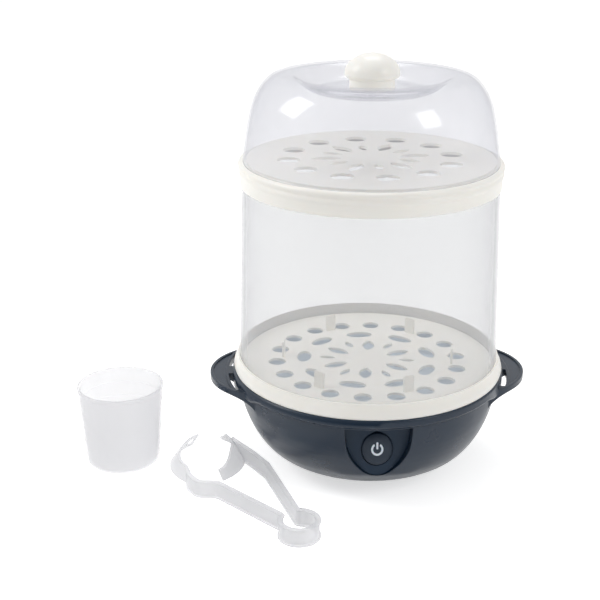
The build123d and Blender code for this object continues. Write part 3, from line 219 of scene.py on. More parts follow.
# %% [markdown]
# Three softboxes shape the object without lighting the scene by themselves. The one at the left is the
# strongest, so the bowl has a bright side and a darker one. The one above and behind draws a thin
# light line along the rims, which parts the white pieces from the white ground.

# %% Lamps
LAMP_TARGET = (0.0, 0.0, 0.2)


def lamp(name, place, width, height, power):
    """A softbox: an area lamp, in metres and watts, that faces the middle of the machine."""
    data = bpy.data.lights.new(name, "AREA")
    data.shape = "RECTANGLE"
    data.size = width
    data.size_y = height
    data.energy = power
    thing = bpy.data.objects.new(name, data)
    thing.location = place
    aim = np.array(LAMP_TARGET, float) - np.array(place, float)
    thing.rotation_euler = Vector(aim).to_track_quat("-Z", "Y").to_euler()
    bpy.context.scene.collection.objects.link(thing)
    print(name + ":", round(float(np.linalg.norm(aim)), 2), "m away,", power, "W")


lamp("softbox left", (-1.5, 0.1, 1.3), 0.7, 0.9, 12.5)
lamp("softbox right", (1.3, -1.0, 1.2), 0.6, 0.8, 8.0)
lamp("overhead", (0.1, 0.9, 2.0), 1.0, 0.6, 8.0)

# %% [markdown]
# The floor is a white paper sweep. To the camera, and in all that mirrors it, it glows a little, so
# that it reaches pure white and the object seems to stand on nothing. It keeps a matt paper's own
# answer to light as well, and that is where the faint shadow under the bowl falls.

# %% Floor
FLOOR_HALF = 4.0
FLOOR_Z = -0.05 * MM  # a hair below the feet, so that no two faces lie in one plane
FLOOR_GLOW = 0.58

floor_mesh = bpy.data.meshes.new("floor")
floor_corners = [(x * FLOOR_HALF, y * FLOOR_HALF, FLOOR_Z) for x, y in [(-1, -1), (1, -1), (1, 1), (-1, 1)]]
floor_mesh.from_pydata(floor_corners, [], [(0, 1, 2, 3)])
floor = bpy.data.objects.new("floor", floor_mesh)
bpy.context.scene.collection.objects.link(floor)

paper, tree = new_material("white paper sweep")
rays = add(tree, "ShaderNodeLightPath").outputs
either = rays["Is Camera Ray"]
for kind in ("Is Glossy Ray", "Is Transmission Ray"):
    either = maths(tree, "MAXIMUM", either, rays[kind])
lit = add(tree, "ShaderNodeBsdfDiffuse", {"Color": linear("#F2F2F2")})
added = add(tree, "ShaderNodeEmission", {
    "Color": linear("#FFFFFF"), "Strength": maths(tree, "MULTIPLY", either, FLOOR_GLOW)})
show(tree, add(tree, "ShaderNodeAddShader", {0: lit.outputs[0], 1: added.outputs[0]}).outputs[0])
floor_mesh.materials.append(paper)
print("floor:", 2 * FLOOR_HALF, "m across")

# %% [markdown]
# ## Surfaces from arrays
# Most pieces here were turned or extruded on the drawing board, so they can be worked out instead of
# sculpted. A turned piece is its section, a line of (radius, height) points, carried round the axis.
# A strip is a section carried along a path. Both give a grid of points, and the grid's faces join each
# point to its neighbours. All of it is done on whole arrays.

# %% Grids
SAME_POINT = 1e-7  # metres


def grid_faces(rows, columns, wrap_rows, wrap_columns):
    """Quads of a grid: points (i, j), (i + 1, j), (i + 1, j + 1), (i, j + 1). Either way can wrap."""
    i = np.arange(rows if wrap_rows else rows - 1)[:, None]
    j = np.arange(columns if wrap_columns else columns - 1)[None, :]
    near, far = i, (i + 1) % rows
    left, right = j, (j + 1) % columns
    quads = [near * columns + left, far * columns + left, far * columns + right, near * columns + right]
    return np.stack([np.broadcast_to(q, (i.size, j.size)) for q in quads], axis=-1).reshape(-1, 4)


def end_caps(rows, columns):
    """The two faces that close the ends of a strip's grid."""
    return [list(range(columns)), list(range((rows - 1) * columns, rows * columns))]


def make_piece(name, points, faces):
    """A smooth-shaded mesh object at the origin, in metres, from points and a list of faces."""
    mesh = bpy.data.meshes.new(name)
    mesh.from_pydata(np.asarray(points, float).tolist(), [], faces)
    mesh.update()
    mesh.polygons.foreach_set("use_smooth", np.ones(len(mesh.polygons), bool))
    piece = bpy.data.objects.new(name, mesh)
    bpy.context.scene.collection.objects.link(piece)
    return piece


def face_outwards(piece):
    """Merge doubled points and turn every face outwards."""
    cleaned = bmesh.new()
    cleaned.from_mesh(piece.data)
    bmesh.ops.remove_doubles(cleaned, verts=cleaned.verts, dist=SAME_POINT)
    bmesh.ops.recalc_face_normals(cleaned, faces=cleaned.faces)
    cleaned.to_mesh(piece.data)
    cleaned.free()
    return piece


def turned(name, section, centre=(0.0, 0.0), turns=256):
    """Carry a closed section round the vertical axis.

    Point (i, j) is (r_i cos a_j, r_i sin a_j, z_i) with a_j = 2 pi j / turns. Section rows are in
    millimetres. Points on the axis fall together there and are merged.
    """
    section = np.asarray(section, float) * MM
    angle = 2 * math.pi * np.arange(turns) / turns
    x = section[:, :1] * np.cos(angle) + centre[0] * MM
    y = section[:, :1] * np.sin(angle) + centre[1] * MM
    z = np.broadcast_to(section[:, 1:], x.shape)
    points = np.stack([x, y, z], axis=-1).reshape(-1, 3)
    return face_outwards(make_piece(name, points, grid_faces(len(section), turns, True, True).tolist()))


# %% [markdown]
# Moulded plastic has no sharp corners: the smallest radius is a few tenths of a millimetre, and that
# narrow round is what catches the light along every edge. So a section is drawn with straight sides
# first, and one function then rounds each corner with an arc that touches both sides. It also leaves
# a point just beside each arc, so that smooth shading stays flat on the flats.

# %% Sections
STRAIGHT = math.pi - 1e-4  # a corner wider than this is left alone
HOLD_SHARE = 0.2  # how much of a side the point beside an arc may take


def rounded(corners, radii, steps=5):
    """Round the corners of a closed polygon.

    At a corner the arc of radius r touches both sides at r * tan(turn / 2) from it, where turn is the
    angle by which the outline changes direction.
    """
    corners = np.asarray(corners, float)
    radii = np.broadcast_to(np.asarray(radii, float), len(corners))
    pieces = []
    for before, corner, after, radius in zip(
            np.roll(corners, 1, 0), corners, np.roll(corners, -1, 0), radii):
        to_before = (before - corner) / np.linalg.norm(before - corner)
        to_after = (after - corner) / np.linalg.norm(after - corner)
        inner = math.acos(np.clip(to_before @ to_after, -1.0, 1.0))
        if radius <= 0 or inner > STRAIGHT:
            pieces.append(corner[None])
            continue
        touch = radius / math.tan(inner / 2)
        middle = to_before + to_after
        centre = corner + middle / np.linalg.norm(middle) * radius / math.sin(inner / 2)
        start = corner + to_before * touch - centre
        stop = corner + to_after * touch - centre
        turn = math.atan2(start[0] * stop[1] - start[1] * stop[0], start @ stop)
        angle = np.linspace(0, turn, steps + 1)[:, None]
        across = np.array([-start[1], start[0]])
        arc = centre + np.cos(angle) * start + np.sin(angle) * across
        shorter = min(np.linalg.norm(before - corner), np.linalg.norm(after - corner))
        hold = min(radius, HOLD_SHARE * shorter)
        pieces.append(arc[:1] + to_before * hold)
        pieces.append(arc)
        pieces.append(arc[-1:] + to_after * hold)
    return np.concatenate(pieces)


def bulged(start, end, height, count=24):
    """Points of the arc from start to end whose middle stands height to the left of the chord.

    Its radius is (c * c / 4 + h * h) / (2 * h) for a chord of length c.
    """
    start, end = np.array(start, float), np.array(end, float)
    chord = np.linalg.norm(end - start)
    along = (end - start) / chord
    left = np.array([-along[1], along[0]])
    radius = (chord ** 2 / 4 + height ** 2) / (2 * height)
    centre = (start + end) / 2 + left * (height - radius)
    half = math.asin(chord / 2 / abs(radius))
    angle = np.linspace(-half, half, count)[:, None]
    return centre + abs(radius) * np.sin(angle) * along + radius * np.cos(angle) * left


def curve(start, start_way, end, end_way, count=24):
    """Cubic Hermite curve: p = h0 start + h1 start_way + h2 end + h3 end_way."""
    t = np.linspace(0, 1, count)[:, None]
    start, start_way, end, end_way = (np.array(v, float) for v in (start, start_way, end, end_way))
    return ((2 * t ** 3 - 3 * t ** 2 + 1) * start + (t ** 3 - 2 * t ** 2 + t) * start_way
            + (3 * t ** 2 - 2 * t ** 3) * end + (t ** 3 - t ** 2) * end_way)


def shifted(line, distance):
    """Move an open line sideways, to its left, by a distance along its own normals."""
    way = np.gradient(line, axis=0)
    way = way / np.linalg.norm(way, axis=1, keepdims=True)
    return line + distance * np.stack([-way[:, 1], way[:, 0]], axis=1)


# %% [markdown]
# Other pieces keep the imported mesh, which is right in shape but was made for measuring: its triangles
# vary in size, and smooth shading shows that as faint marks in a gloss. So a copy is merged into one
# skin, its true edges are marked sharp by their angle, and between them the normals are evened out.
# The shader rounds those edges. Then each piece gets its finish, the body that it moves with and the
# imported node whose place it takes.

# %% Copies and finishes
MERGE_MM = 0.03
SLIVER_MM = 0.01
SHARP_EDGE = math.radians(30)
SHARP_STRIP_EDGE = math.radians(40)
NO_LENGTH = 1e-9


def even_normals(mesh, rounds=12):
    """Even out the shading of a mesh whose triangles vary in size.

    In each round a point's normal becomes the mean of its own and its neighbours', as a unit vector.
    Points on a sharp edge keep theirs.
    """
    edges = np.empty(2 * len(mesh.edges), int)
    mesh.edges.foreach_get("vertices", edges)
    edges = edges.reshape(-1, 2)
    sharp = np.empty(len(mesh.edges), bool)
    mesh.edges.foreach_get("use_edge_sharp", sharp)
    held = np.zeros(len(mesh.vertices), bool)
    held[edges[sharp].ravel()] = True
    normal = np.empty(3 * len(mesh.vertices))
    mesh.vertex_normals.foreach_get("vector", normal)
    normal = normal.reshape(-1, 3)
    inner = edges[~held[edges].any(axis=1)]
    for _ in range(rounds):
        total = normal.copy()
        np.add.at(total, inner[:, 0], normal[inner[:, 1]])
        np.add.at(total, inner[:, 1], normal[inner[:, 0]])
        size = np.linalg.norm(total, axis=1, keepdims=True)
        normal = np.where(held[:, None] | (size < NO_LENGTH), normal, total / np.maximum(size, NO_LENGTH))
    corner = np.empty(3 * len(mesh.loops))
    mesh.corner_normals.foreach_get("vector", corner)
    point = np.empty(len(mesh.loops), int)
    mesh.loops.foreach_get("vertex_index", point)
    mesh.normals_split_custom_set(np.where(held[point][:, None], corner.reshape(-1, 3), normal[point]))


def smooth_copy(node, name, move=None):
    """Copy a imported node's mesh, merge its loose triangles and shade it smooth up to its sharp edges.

    move, if given, takes the points as rows in millimetres and returns where they go.
    """
    piece = bpy.data.objects.new(name, nodes[node].data.copy())
    piece.data.name = name
    bpy.context.scene.collection.objects.link(piece)
    cleaned = bmesh.new()
    cleaned.from_mesh(piece.data)
    bmesh.ops.remove_doubles(cleaned, verts=cleaned.verts, dist=MERGE_MM * MM)
    bmesh.ops.dissolve_degenerate(cleaned, edges=cleaned.edges, dist=SLIVER_MM * MM)
    cleaned.to_mesh(piece.data)
    cleaned.free()
    if "custom_normal" in piece.data.attributes:
        piece.data.attributes.remove(piece.data.attributes["custom_normal"])
    if move:
        places = np.empty(3 * len(piece.data.vertices))
        piece.data.vertices.foreach_get("co", places)
        piece.data.vertices.foreach_set("co", (move(places.reshape(-1, 3) / MM) * MM).ravel())
    piece.data.polygons.foreach_set("use_smooth", np.ones(len(piece.data.polygons), bool))
    piece.data.set_sharp_from_angle(angle=SHARP_EDGE)
    piece.data.update()
    even_normals(piece.data)
    return piece


def paint(piece, material):
    """Give a piece one finish all over, and print what it is and how large."""
    piece.data.materials.clear()
    piece.data.materials.append(material)
    places = np.empty(3 * len(piece.data.vertices))
    piece.data.vertices.foreach_get("co", places)
    size = np.ptp(places.reshape(-1, 3), axis=0) / MM
    print(piece.name + ":", " x ".join(f"{length:.1f}" for length in size), "mm,", material.name)


def dress(piece, material, body, replaces):
    """Give a piece its finish, its body and the nodes it stands for."""
    paint(piece, material)
    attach(piece, body)
    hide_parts(*replaces)


def finish_node(node, material):
    """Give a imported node, whose shape is right as it is, its finish."""
    paint(nodes[node], material)


# %% [markdown]
# ## Dark plastic: the base, its panel and the button
# The base is moulded ABS, a hard plastic that takes a shine from a polished mould. Its dark navy grey
# mirrors the white studio at its sides, where it is seen at a flat angle, and stays dark where it faces
# the camera. A real moulding is never a perfect mirror: it has a faint waviness, a few millimetres from
# crest to crest and hundredths deep, and its gloss drifts a little.

# %% Base plastic
ABS_IOR = 1.42  # under the 1.54 of solid ABS, for a softer shine
ROUGH_DRIFT = 0.04


def glossy_abs():
    """ABS from a polished mould: dark navy grey, soft gloss, faint waviness."""
    material, tree = new_material("ABS, polished mould, navy grey")
    colour = two_tone(tree, 60, "#0C2033", "#0F2437")
    rough = cloudy(tree, 25, 0.26, 0.34)
    shader = add(tree, "ShaderNodeBsdfPrincipled", {
        "Base Color": colour, "Roughness": rough, "IOR": ABS_IOR,
        "Normal": bumps(tree, 4.0, 0.012, edge_mm=1.1)})
    show(tree, shader.outputs[0])
    return material


def satin_abs(name, first, second, rough, grain_mm, ior=ABS_IOR):
    """ABS from a spark-textured mould: a fine even grain that breaks up reflections."""
    material, tree = new_material(name)
    shader = add(tree, "ShaderNodeBsdfPrincipled", {
        "Base Color": two_tone(tree, 20, first, second),
        "Roughness": cloudy(tree, 8, rough - ROUGH_DRIFT, rough + ROUGH_DRIFT),
        "IOR": ior, "Normal": bumps(tree, grain_mm, 0.02, edge_mm=0.3)})
    show(tree, shader.outputs[0])
    return material


base_plastic = glossy_abs()
panel_plastic = satin_abs("ABS, satin mould, deep navy", "#082237", "#0B253A", 0.4, 0.7, 1.34)
button_plastic = satin_abs("ABS, satin mould, slate", "#0B1E30", "#0E2234", 0.45, 0.6)
cover_plastic = satin_abs("ABS, coarse textured mould, black", "#1C2026", "#20242A", 0.6, 0.9)
switch_plastic = satin_abs("nylon, black, switch parts", "#15171A", "#191B1F", 0.5, 0.5)

# %% [markdown]
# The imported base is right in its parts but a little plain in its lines. The photograph shows a slimmer
# band round the rim, a control panel whose sides run out nearly to the bowl's skin, and a bowl that is
# flatter underneath and fuller at the corner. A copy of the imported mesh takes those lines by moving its
# points, a few millimetres at most. The handles, the seat of the basin and all that touches another
# part stay where they are.

# %% Lines of the base
# A table has places in its first row and shifts in its second, all in millimetres unless it says so.
BUTTON_Z = 53.5
PANEL_Y = 101.0
BAND_LIFT = [64, 72.5, 78, 84], [0, 5, 5, 0]  # by height
BAND_FROM, BAND_TO = 113.3, 115.2  # radius
HANDLE_FROM, HANDLE_TO = 26, 36  # degrees from the handles' line
CORNER_TOP = 60
CORNER_LIFT = ([58, 60, 64, 68, 72, 76, 80, 84, 88, 92, 97, 101, 106, 110],
               [0, 0.8, 1.5, 2.1, 2.3, 2.1, 1.6, 0.9, 0.2, -0.6, -1.2, -1.0, -0.5, 0])  # by radius
PANEL_RISE = [25, 31.5, 38, 67.5, 72.5, 76.8], [0, -1.7, 0, 0, 4.4, 0.6]  # by height
PANEL_HEIGHTS = [25, 31, 76, 77], [0, 1, 1, 0]  # by height, as a share
PANEL_WIDEN = [0, 24, 25.5, 34, 42], [0.14, 0.14, 0.12, 0.03, 0.0]  # by distance aside, as a share
RECESS_FROM, RECESS_TO = 88, 96  # how far forward
SKIN_R, SKIN_DEPTH = 115.3, 2  # the bowl's skin in front, which stays
ROUND_TOP_HALF, ROUND_TOP_FADE = 33, 3
WALL_HALF, WALL_DEPTH = 44, 14
WALL_SHEAR = 0.30  # sideways per millimetre of depth
BUTTON_FROM, BUTTON_TO = 14.8, 18  # distance from the button's centre


def ease(value, start, stop):
    """Smooth step: 0 before start, 1 after stop, 3 t * t - 2 t * t * t between."""
    t = np.clip((value - start) / (stop - start), 0.0, 1.0)
    return t * t * (3 - 2 * t)


def base_lines(points):
    """Slimmer rim band, wider panel recess, fuller lower corner: each a shift weighted by place.

    The band's foot rises except at the handles, the corner moves by its radius, and within the recess
    the walls are sheared upright, the round top rises and the middle widens but for the button's hole.
    """
    x, y, z = points.T
    aside = np.abs(x)
    radius = np.hypot(x, y)
    from_handles = np.degrees(np.arctan2(np.abs(y), aside))
    at_band = ease(from_handles, HANDLE_FROM, HANDLE_TO) * ease(radius, BAND_FROM, BAND_TO)
    band = at_band * np.interp(z, *BAND_LIFT)
    corner = np.interp(radius, *CORNER_LIFT) * (z < CORNER_TOP)
    recess = ease(-y, RECESS_FROM, RECESS_TO) * ease(SKIN_R - radius, 0, SKIN_DEPTH)
    rise = recess * ease(ROUND_TOP_HALF - aside, 0, ROUND_TOP_FADE) * np.interp(z, *PANEL_RISE)
    in_height = np.interp(z, *PANEL_HEIGHTS)
    depth = np.clip(-y - PANEL_Y, 0, WALL_DEPTH)
    shear = WALL_SHEAR * recess * in_height * depth * ease(WALL_HALF - aside, 0, WALL_DEPTH)
    x = x - np.sign(x) * np.minimum(shear, aside)
    round_button = ease(np.hypot(x, z - BUTTON_Z), BUTTON_FROM, BUTTON_TO)
    widen = recess * in_height * round_button * np.interp(np.abs(x), *PANEL_WIDEN)
    return np.stack([x * (1 + widen), y, z + band + corner + rise], axis=1)


for node_name, piece_name, move, material, body_name, slot in [
        ("base_shell", "base_moulded", base_lines, base_plastic, "base", "base_plastic"),
        ("front_panel", "panel_moulded", base_lines, panel_plastic, "base", "panel_plastic"),
        ("power_button", "button_moulded", None, button_plastic, "button", "button_plastic")]:
    dress(smooth_copy(node_name, piece_name, move), material, body_name, [node_name])
finish_node("bottom_cover", cover_plastic)
for node_name in ("tact_switch", "switch_plunger", "thermostat"):
    finish_node(node_name, switch_plastic)

# %% [markdown]
# The mark on the button is a separate shot of pale, slightly milky plastic, set flush, which a small
# lamp lights from behind when the machine is on. It gives a soft edge and no gloss.

# %% Mark on the button
def pale_mark():
    """Milky polycarbonate: pale blue white, with a little light inside it."""
    material, tree = new_material("polycarbonate, milky, pale")
    shader = add(tree, "ShaderNodeBsdfPrincipled", {
        "Base Color": two_tone(tree, 5, "#D5DCE6", "#DCE2EA"), "Roughness": 0.4, "IOR": 1.58,
        "Subsurface Weight": 0.2, "Subsurface Scale": 1.0 * MM, "Normal": bumps(tree, 0.5, 0.01)})
    show(tree, shader.outputs[0])
    return material


finish_node("power_icon", pale_mark())

# %% [markdown]
# ## White plastic: the two trays and the knob
# These are polypropylene, the waxy plastic of food boxes. Light goes a millimetre or so into it before
# it comes back, so its shadows are soft and warm, and its surface has a low, even sheen. A wall this
# thin also lets light through, which keeps the underside of the stack from going dark. The trays keep
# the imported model's shape, and the shader rounds the edge of each hole as the mould does.

# %% White plastic
LIGHT_THROUGH_WHITE = 0.6


def white_polypropylene():
    """Polypropylene: warm white, waxy sheen, soft light inside, fine ripples."""
    material, tree = new_material("polypropylene, moulded, warm white")
    shader = add(tree, "ShaderNodeBsdfPrincipled", {
        "Base Color": two_tone(tree, 40, "#F2F0EA", "#F4F2ED"),
        "Roughness": cloudy(tree, 12, 0.30, 0.38),
        "IOR": 1.49, "Subsurface Weight": 0.25, "Subsurface Scale": 1.5 * MM,
        "Subsurface Radius": (1.0, 0.85, 0.7), "Normal": bumps(tree, 2.5, 0.01, edge_mm=0.35)})
    clear = add(tree, "ShaderNodeBsdfTransparent", {"Color": linear("#FFFFFF")})
    is_shadow = add(tree, "ShaderNodeLightPath").outputs["Is Shadow Ray"]
    share = maths(tree, "MULTIPLY", is_shadow, LIGHT_THROUGH_WHITE)
    show(tree, mixed(tree, share, shader.outputs[0], clear.outputs[0]))
    return material


white_plastic = white_polypropylene()
for node_name in ("lower_tray", "upper_tray"):
    dress(smooth_copy(node_name, node_name + "_moulded"), white_plastic, node_name, [node_name])

# %% [markdown]
# The knob is a mushroom: a short neck, an underside that swells out to the edge and a top that is half
# an ellipse. We draw its section from the middle of its foot to the middle of its top and carry it
# round.

# %% Knob
knob_low, knob_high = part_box("knob")
KNOB_R = knob_high.x / MM
KNOB_SEAT = knob_low.z / MM
KNOB_TOP = knob_high.z / MM
KNOB_NECK_R = 19.3
KNOB_NECK_H = 9.5
KNOB_EDGE_H = 3.4
KNOB_ROUND = 0.4
KNOB_GAP = 0.5  # room left for the soft bends between neck, underside and edge
KNOB_SWELL = -1.0  # how far the underside's arc hangs below its chord

neck_z = KNOB_SEAT + KNOB_NECK_H
edge_z = neck_z + KNOB_EDGE_H
quarter = np.radians(np.linspace(0, 90, 40))[:, None]
dome = np.concatenate([KNOB_R * np.cos(quarter), edge_z + (KNOB_TOP - edge_z) * np.sin(quarter)], axis=1)
foot = np.array([(0, KNOB_SEAT), (KNOB_NECK_R - KNOB_ROUND, KNOB_SEAT),
                 (KNOB_NECK_R, KNOB_SEAT + KNOB_ROUND), (KNOB_NECK_R, neck_z - KNOB_GAP)])
under = bulged((KNOB_NECK_R, neck_z), (KNOB_R - 0.05, edge_z - KNOB_GAP), KNOB_SWELL)
knob_section = np.concatenate([foot, under, dome])
dress(turned("knob_cap", knob_section, turns=128), white_plastic, "lid", ["knob"])


# %% [markdown]
# ## See-through plastic: the chamber, the lid, the cup and the tongs
# A thin plastic wall does three things to light. Some of it goes straight through. Some is scattered
# by haze inside and comes out as a pale veil, and more of it does so at a flat angle, because the way
# through the wall is longer. The rest is mirrored at the surface. We mix those three: a Transparent
# shader, a soft Principled one for the haze, and a Glossy one whose share follows Fresnel's law. The
# haze lets lamps through too, so the trays inside are lit as they are on the real machine.

# %% Thin plastic
LIGHT_THROUGH_HAZE = 0.92
VEIL_POWER, MIRROR_POWER = 3.0, 5.0
MIRROR_FACE_ON, MIRROR_EDGE_ON = 0.04, 0.5


def thin_plastic(name, haze_colour, face_on, edge_on, gloss_rough, wave_mm, wave_height_mm, through=0.0):
    """A thin moulded wall: clear, veiled by haze, mirrored at the surface.

    The veil's share grows from face_on to edge_on with the cube of how slanted the view is. Light on
    its way to what stands inside meets a thinner veil, because haze sends most of it on forwards.
    through is the part of the veil's own light that comes from its far side.
    """
    material, tree = new_material(name)
    normal = bumps(tree, wave_mm, wave_height_mm)
    clear = add(tree, "ShaderNodeBsdfTransparent", {"Color": linear("#FFFFFF")})
    veil = add(tree, "ShaderNodeBsdfPrincipled", {
        "Base Color": linear(haze_colour), "Roughness": 0.7, "Specular IOR Level": 0.0,
        "Subsurface Weight": 0.0, "Normal": normal}).outputs[0]
    if through:
        far_side = add(tree, "ShaderNodeBsdfTranslucent", {"Color": linear(haze_colour), "Normal": normal})
        veil = mixed(tree, through, veil, far_side.outputs[0])
    facing = add(tree, "ShaderNodeLayerWeight", {"Blend": 0.5, "Normal": normal}).outputs["Facing"]
    rays = add(tree, "ShaderNodeLightPath").outputs
    lighting = maths(tree, "MAXIMUM", rays["Is Shadow Ray"], rays["Is Diffuse Ray"])
    kept = maths(tree, "MULTIPLY_ADD", lighting, -LIGHT_THROUGH_HAZE, 1.0)
    veiled = add(tree, "ShaderNodeMapRange", {
        "Value": maths(tree, "POWER", facing, VEIL_POWER), "To Min": face_on, "To Max": edge_on})
    share = maths(tree, "MULTIPLY", veiled.outputs["Result"], kept)
    body = mixed(tree, share, clear.outputs[0], veil)
    mirror = add(tree, "ShaderNodeBsdfGlossy", {"Roughness": gloss_rough, "Normal": normal})
    mirrored = add(tree, "ShaderNodeMapRange", {
        "Value": maths(tree, "POWER", facing, MIRROR_POWER),
        "To Min": MIRROR_FACE_ON, "To Max": MIRROR_EDGE_ON})
    glint = maths(tree, "MULTIPLY", mirrored.outputs["Result"], kept)
    show(tree, mixed(tree, glint, body, mirror.outputs[0]))
    return material


frosted_plastic = thin_plastic("polypropylene, frosted, natural", "#B8BABF", 0.18, 0.33, 0.30, 3.0, 0.02)
clear_plastic = thin_plastic("polypropylene, clarified", "#B8BACA", 0.15, 0.24, 0.14, 12.0, 0.02)
cup_plastic = thin_plastic("polypropylene, natural, cup", "#DADADE", 0.34, 0.42, 0.2, 5.0, 0.02, 0.5)
tongs_plastic = thin_plastic("polypropylene, natural, tongs", "#E0E0E4", 0.50, 0.62, 0.2, 4.0, 0.03, 0.5)

# %% [markdown]
# The chamber is the simplest wall of all, a tapered tube with round lips. Its taper isn't for looks: a
# tube that narrows by a few millimetres slides off the core of its mould.

# %% Chamber
CHAMBER_WALL = 1.8
CHAMBER_TOP_R = 110.7
CHAMBER_LIP_ROUND = 0.5

chamber_low, chamber_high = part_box("chamber")
bottom_r = chamber_high.x / MM
low_z, top_z = chamber_low.z / MM, chamber_high.z / MM
chamber_section = rounded([(bottom_r, low_z), (CHAMBER_TOP_R, top_z), (CHAMBER_TOP_R - CHAMBER_WALL, top_z),
                           (bottom_r - CHAMBER_WALL, low_z)], CHAMBER_LIP_ROUND)
dress(turned("chamber_wall", chamber_section), frosted_plastic, "chamber", ["chamber"])

# %% [markdown]
# The lid is one flowing line: a steep side, a wide shoulder, a round crown and a dish in which the knob
# stands. Clear plastic shows every kink in such a line as a broken reflection, so the parts of the line
# meet in the same direction. The inner skin is the outer one moved in by the wall's thickness.

# %% Lid
LID_WALL = 1.8
LID_SIDE_SWELL = -0.9  # negative, because left of the way up is inwards
lid_low, lid_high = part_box("lid")
LID_BASE = lid_low.z / MM
LID_R = lid_high.x / MM
# where the line passes, as radius and height above the lid's foot
lid_foot = (LID_R, 0.0)
lid_shoulder = (103.0, 45.0)
lid_corner = (84.0, 72.6)
lid_crown = (71.0, 74.0)
lid_dish = (46.0, 61.0)
# how hard and which way a curve leaves or reaches those points
SHOULDER_PULL = 38
corner_in, corner_out = (-24.0, 8.0), (-12.0, 4.0)
crown_in, crown_out = (-13.0, -0.2), (-22.0, -0.3)
dish_in = (-30.0, 0.0)

side = bulged(lid_foot, lid_shoulder, LID_SIDE_SWELL)
side_way = side[-1] - side[-2]
side_way = side_way / np.linalg.norm(side_way)
turn = curve(lid_shoulder, side_way * SHOULDER_PULL, lid_corner, corner_in, 32)
over = curve(lid_corner, corner_out, lid_crown, crown_in, 12)
fall = curve(lid_crown, crown_out, lid_dish, dish_in, 32)
flat = np.stack([np.linspace(lid_dish[0], 0, 24), np.full(24, lid_dish[1])], axis=1)
outer = np.concatenate([side[:-1], turn[:-1], over[:-1], fall[:-1], flat])
inner = shifted(outer, LID_WALL)
inner[0] = (outer[0, 0] - LID_WALL, outer[0, 1])
inner[-1] = (0.0, outer[-1, 1] - LID_WALL)
lid_section = np.concatenate([outer, inner[::-1]]) + (0, LID_BASE)
dress(turned("lid_dome", lid_section), clear_plastic, "lid", ["lid"])
print("lid top:", round(lid_section[:, 1].max(), 2), "of", round(lid_high.z / MM, 2))

# %% [markdown]
# The measuring cup is a plain drinking cup in shape, with a bead round its mouth that stiffens it. Four
# fine rings inside tell how much water goes into the basin. They are part of the moulding, so they are
# part of the section too.

# %% Measuring cup
cup_low, cup_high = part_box("measuring_cup")
CUP_CENTRE = ((cup_low.x + cup_high.x) / 2 / MM, (cup_low.y + cup_high.y) / 2 / MM)
CUP_R = (cup_high.x - cup_low.x) / 2 / MM
CUP_H = cup_high.z / MM
CUP_FOOT_R = 32.6
CUP_WALL = 1.6
CUP_BEAD = 0.6
CUP_MARKS = 20.3 + 13.5 * np.arange(4)
CUP_MARK_PROUD = 0.35
CUP_MARK_HALF = 0.6
CUP_BEAD_LOW, CUP_BEAD_FULL = 3.4, 2.6  # below the mouth: where the bead begins, and where it stands full


def cup_inner_radius(height):
    """Radius of the cup's inner wall, a straight line from its foot to its mouth."""
    return np.interp(height, [CUP_WALL, CUP_H], [CUP_FOOT_R - CUP_WALL, CUP_R - CUP_WALL - CUP_BEAD])


marks = [(cup_inner_radius(mark + step) - (CUP_MARK_PROUD if step == 0 else 0), mark + step)
         for mark in CUP_MARKS[::-1] for step in (CUP_MARK_HALF, 0, -CUP_MARK_HALF)]
# each corner of the section with the radius that rounds it
cup_outside = [((0, 0), 0), ((CUP_FOOT_R, 0), 5.0), ((CUP_R - CUP_BEAD, CUP_H - CUP_BEAD_LOW), 0.3),
               ((CUP_R, CUP_H - CUP_BEAD_FULL), 0.5), ((CUP_R, CUP_H), 0.8),
               ((CUP_R - CUP_WALL - CUP_BEAD, CUP_H), 0.6)]
cup_inside = [((CUP_FOOT_R - CUP_WALL, CUP_WALL), 3.4), ((0, CUP_WALL), 0)]
cup_corners, cup_radii = zip(*cup_outside, *[(mark, 0.2) for mark in marks], *cup_inside)
cup_section = rounded(cup_corners, cup_radii)
dress(turned("cup", cup_section, CUP_CENTRE, 160), cup_plastic, "measuring_cup", ["measuring_cup"])

# %% [markdown]
# The tongs are one moulding: a strip on edge, with a rib along each edge, that runs from the left jaw
# down its arm, round a springy bow and up the other arm to a C-shaped jaw. So they are one section
# carried along one line. Where the arm turns into the left jaw, the ribs run out and the strip leans
# over. The right jaw is a piece of its own, because a straight blend can't tell it from the left jaw
# that it lies in.

# %% Tongs' line
STRIP_T, STRIP_H, RIB_W, RIB_H = 2.2, 15.0, 4.6, 1.4
BOW_CENTRE, BOW_R = np.array([-66.6, -146.2]), 15.5
LEFT_ARM = [(-79.9, -138.4), (-134.8, -83.5), (-151.7, -82.0), (-159.0, -70.5)]
LEFT_JAW, LEFT_JAW_R, LEFT_JAW_START, LEFT_JAW_END = np.array([-134.0, -22.0]), 46.0, 227.0, 129.0
WINDOW_AT, WINDOW_W, WINDOW_LOW, WINDOW_HIGH = 137.0, 10.0, 3.75, 11.25
RIGHT_ARM = [(-67.2, -131.4), (-92.0, -52.0), (-104.0, -32.0)]
RIGHT_ARM_END = np.array([-118.0, -12.0])
RIGHT_JAW, RIGHT_JAW_R, RIGHT_JAW_START, RIGHT_JAW_SWEEP = np.array([-160.5, -17.0]), 49.0, -56.0, 112.0
JAW_LEAN = 11.0
ARM_BEND_R, BOW_BEND_R = 9.0, 2.2
LINE_STEP = 1.6


def ring_points(centre, radius, start, stop, count):
    """Points on a circle in plan, at even angles from start to stop in degrees."""
    angle = np.radians(np.linspace(start, stop, count))
    return centre + radius * np.stack([np.cos(angle), np.sin(angle)], axis=1)


def bearing(point):
    """Angle in degrees at which a point lies seen from the bow's centre."""
    return math.degrees(math.atan2(point[1] - BOW_CENTRE[1], point[0] - BOW_CENTRE[0]))


